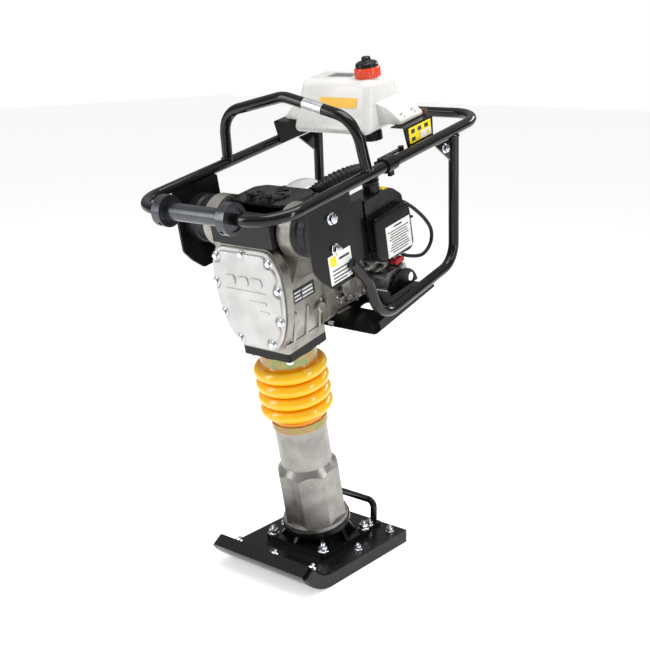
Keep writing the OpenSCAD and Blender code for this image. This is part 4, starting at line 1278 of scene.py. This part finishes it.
@dataclass
class FrameBolts:
    """Bolts of the side plates, gussets and tank."""

    def build(self, fasteners: Fasteners) -> None:
        """Puts real heads where the plain ones stand, and weld beads on the tubes."""
        made: list[bpy.types.Object] = []
        big = fasteners.hex_bolt(6.0, 4.0)
        small = fasteners.hex_bolt(5.0, 4.0)
        tank = fasteners.hex_bolt(4.0, 4.0)
        for side, facing in ((1, Facing.RIGHT), (-1, Facing.LEFT)):
            spots = [(facing, (side * 189.0, -8, w)) for w in (801, 867)]
            made += fasteners.spread(big, spots)
            made += fasteners.spread(small, [(facing, (side * 200.5, 396, 890))])
            spots = [(Facing.TOP, (side * 154.0, v, 984)) for v in (312, 352)]
            made += fasteners.spread(tank, spots)
        for master in (big, small, tank):
            fasteners.drop(master)
        piece = Bench.join("frame_screws", made)
        Bench.dress(piece, ZINC, "handle", "zinc")
        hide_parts("frame_bolts")
        beads = []
        for side in (1, -1):
            for v, w in ((115, 930.0), (439, 906.5)):
                bead = Bench.turned("bead", [(11.6, -2.6), (14.0, -1.4), (14.2, 1.0), (11.6, 2.8),
                                             (11.6, -2.6)], 40)
                beads.append(Bench.place(bead, Facing.TOP, (side * 198.0, v, w)))
        piece = Bench.join("weld_beads", beads)
        Bench.dress(piece, BLACK_PAINT, "handle", "black_paint", 60)


@dataclass
class BentTubes:
    """The guard tubes with their gussets, and the lifting bow with its label."""

    rail_x: float = 198.0
    tube_r: float = 12.0
    guard: list[Flat] = field(default_factory=lambda: [
        (26, 760), (70, 698), (96, 603), (390, 622), (439, 905)])
    guard_bends: list[float] = field(default_factory=lambda: [120.0, 62.0, 58.0])
    bow_v: float = 115.0
    bow: list[Flat] = field(default_factory=lambda: [
        (-198, 920), (-184, 1034), (0, 1076), (184, 1034), (198, 920)])
    bow_bend: float = 70.0

    @staticmethod
    def bent(corners: list[Flat], radii: list[float], steps: int = 14) -> list[Flat]:
        """Rounds the inner corners of an open line.

        Args:
            corners: the line's corner points.
            radii: the bend radius at every inner corner.
            steps: stretches that one bend is cut into.

        Returns:
            The bent centre line.
        """
        found: list[Flat] = [corners[0]]
        for i, bend_r in enumerate(radii):
            p = Vector(corners[i + 1])
            a = (Vector(corners[i]) - p).normalized()
            b = (Vector(corners[i + 2]) - p).normalized()
            half = a.angle(b) / 2
            middle = p + (a + b).normalized() * bend_r / math.sin(half)
            start = p + a * bend_r / math.tan(half) - middle
            end = p + b * bend_r / math.tan(half) - middle
            sweep = start.angle(end)
            for k in range(steps + 1):
                t = k / steps
                arm = start * math.sin(sweep * (1 - t)) + end * math.sin(sweep * t)
                found.append(tuple(middle + arm / math.sin(sweep)))
        return [*found, corners[-1]]

    def build(self) -> None:
        """Bends the tubes and welds the gussets to them."""
        line = self.bent(self.guard, self.guard_bends)
        made = []
        for side in (1, -1):
            route = [(side * self.rail_x, v, w) for v, w in line]
            made.append(Bench.hose("guard", route, self.tube_r))
            gusset = Bench.plate(
                "gusset", rounded([(364, 904), (434, 904), (430, 852), (420, 852)], 4), 5, 0.8, 2)
            made.append(Bench.place(gusset, Facing.RIGHT, (side * self.rail_x - 2.5, 0, 0)))
        piece = Bench.join("guard_tubes", made)
        Bench.dress(piece, BLACK_PAINT, "handle", "black_paint", 40)
        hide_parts("rear_guards")
        line = self.bent(self.bow, [self.bow_bend] * 3)
        piece = Bench.hose("bow_tube", [(x, self.bow_v, w) for x, w in line], self.tube_r)
        Bench.dress(piece, BLACK_PAINT, "handle", "black_paint", 40)
        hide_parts("lifting_bow")
        self.bow_label()

    def bow_label(self) -> None:
        """Wraps a small silver label with bars round the bow's right slope."""
        start, end = Vector(self.bow[2]), Vector(self.bow[3])
        along = (end - start).normalized()
        shell = [(self.tube_r + 0.2, 0), (self.tube_r + 0.5, 0), (self.tube_r + 0.5, 50),
                 (self.tube_r + 0.2, 50), (self.tube_r + 0.2, 0)]
        wrap = Bench.turned("bow_label", shell, 48)
        turn = Matrix.Rotation(math.atan2(along.x, along.y), 4, "Y")
        at = start + along * 58
        wrap.matrix_world = Matrix.Translation(Vector((at.x, self.bow_v, at.y)) * MM) @ turn
        Bench.settle(wrap)
        wrap.matrix_world = LEAN_MATRIX
        Bench.settle(wrap)
        Bench.dress(wrap, LABEL_SILVER, "handle", "label_white")


@dataclass
class Engine:
    """Castings, covers and small parts on the engine's right side."""

    axis_v: float = 150.0
    axis_w: float = 660.0
    ring_r: float = 44.0
    ring_start: float = 12.0
    lugs: int = 10
    screws: int = 5

    def ring(self, count: int, x: float) -> list[Point]:
        """Lists evenly spaced places on the ring of lugs round the side cover."""
        angles = [math.radians(360 / count * i + self.ring_start) for i in range(count)]
        return [(x, self.axis_v + self.ring_r * math.cos(a),
                 self.axis_w + self.ring_r * math.sin(a)) for a in angles]

    def build(self, fasteners: Fasteners) -> None:
        """Builds the side cover with its screws, lugs, bosses and ribs."""
        parts = []
        cover = Bench.turned("cover", [
            (0, 0), (46, 0), (46, 3), (43, 5), (36, 6), (30, 9), (18, 10), (14, 8), (0, 8)], 56)
        parts.append(Bench.place(cover, Facing.RIGHT, (91.5, self.axis_v, self.axis_w)))
        for at in self.ring(self.lugs, 91):
            lug = Bench.turned("lug", [(0, 0), (7, 0), (6.4, 8), (5, 9), (0, 9)], 20)
            parts.append(Bench.place(lug, Facing.RIGHT, at))
        for v, w, r, long in ((100, 628, 9, 9), (214, 622, 10, 8), (118, 694, 8, 7),
                              (196, 690, 9, 10), (88, 676, 7, 8)):
            boss = Bench.turned("boss", [(0, 0), (r, 0), (r * 0.9, long), (r * 0.7, long + 1.5),
                                         (0, long + 1.5)], 24)
            parts.append(Bench.place(boss, Facing.RIGHT, (85.5, v, w)))
        for i in range(5):
            rib = Bench.plate("rib", [(0, -2), (44, -6), (44, -2), (0, 2)], 7, 1.0, 2)
            parts.append(Bench.place(rib, Facing.RIGHT, (85, 84 + i * 4, 604 + i * 15)))
        piece = Bench.join("engine_castings", parts)
        Bench.dress(piece, CAST_ALUMINIUM, "machine", "cast_aluminium")
        bolt = fasteners.hex_bolt(3.4, 0.5)
        spots = [(Facing.RIGHT, at) for at in self.ring(self.screws, 100.2)]
        for x, w in ((-84, 700), (84, 700), (-92, 640), (92, 640), (-70, 578), (70, 578)):
            spots.append((Facing.REAR, (x, 76, w)))
        made = fasteners.spread(bolt, spots)
        fasteners.drop(bolt)
        piece = Bench.join("engine_screws", made)
        Bench.dress(piece, ZINC, "machine", "zinc")
        self.tag()

    @staticmethod
    def tag() -> None:
        """Sticks a plain yellow tag on top of the air cleaner."""
        tag = Bench.plate("cleaner_tag", rounded(box_outline(-13, -9, 13, 9), 2), 1.2, 0.3, 2)
        Bench.place(tag, Facing.TOP, (112, 262, 834.2))
        Bench.dress(tag, LABEL_YELLOW, "machine", "label_yellow")


LABELS = [
    Label("plate_label", Facing.RIGHT, (189.1, 1, 762), (74, 62), "handle",
          block=(-22, 17, 20, 20),
          marks=[(14, 17, 34, 5), (2, -3, 58, 3), (0, -11, 56, 3), (2, -19, 58, 3),
                 (-6, -26, 44, 3)]),
    Label("cleaner_label", Facing.RIGHT, (151.1, 256, 727), (92, 72), "machine",
          marks=[(0, 29, 30, 4)] + [(0, 20 - 6 * i, 78 - (i * 17) % 23, 2.2) for i in range(9)]),
    Label("tank_top_label", Facing.TOP, (-10, 334, 1066.1), (72, 34), "handle",
          ground=LABEL_SILVER,
          marks=[(0, 10 - 5 * i, 60 - (i * 13) % 17, 1.6) for i in range(5)]),
]


@dataclass
class TankBrackets:
    """Warning blocks on the right bracket and a rubber buffer behind each foot."""

    buffer_at: Point = (158.0, 390.0, 966.0)
    blocks: Label = field(default_factory=lambda: Label(
        "bracket_label", Facing.RIGHT, (186.1, 330, 948), (84, 34), "handle",
        ground=LABEL_YELLOW,
        marks=[(-27, 8, 14, 9), (-2, 8, 14, 9), (24, 8, 14, 9), (-27, -9, 14, 8)]))
    notice: Label = field(default_factory=lambda: Label(
        "bracket_notice", Facing.RIGHT, (186.45, 350, 940), (38, 16), "handle",
        block=(8, 0, 10, 10)))

    def build(self) -> None:
        """Sticks on the labels and stands the buffers."""
        self.blocks.build()
        self.notice.build()
        made = []
        x, v, w = self.buffer_at
        for side in (1, -1):
            profile = [(0, 0), (7, 0), (8, 3), (8, 12), (6, 15), (0, 15)]
            stop = Bench.turned("stop", profile, 28)
            made.append(Bench.place(stop, Facing.TOP, (side * x, v, w)))
        piece = Bench.join("tank_buffers", made)
        Bench.dress(piece, BUFFER_BROWN, "handle", "black_rubber")


def dress_cad_nodes() -> None:
    """Gives every CAD node its finish."""
    finish_of = {name: finish for finish, names in NODES_OF for name in names.split()}
    for name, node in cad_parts.items():
        node.data.materials.clear()
        node.data.materials.append(finish_of[name].material())
        LOG.info("%s: %s", name, finish_of[name].name)


def main() -> None:
    """Builds the whole picture in order."""
    studio = Studio()
    studio.camera()
    Hoses().build()
    dress_cad_nodes()
    fasteners = Fasteners()
    Bellows().build()
    LegSprings().build()
    StarterRope().build()
    Shoe().build(fasteners)
    FrontCover().build(fasteners)
    Case().build()
    FuelTank().build()
    AirCleaner().build()
    Precleaner().build()
    Engine().build(fasteners)
    FrameBolts().build(fasteners)
    BentTubes().build()
    for label in LABELS:
        label.build()
    TankBrackets().build()
    studio.build()
    LOG.info("%d fasteners placed", fasteners.count)


if __name__ == "__main__":
    logging.basicConfig(level=logging.INFO, format="%(name)s: %(message)s")
    main()
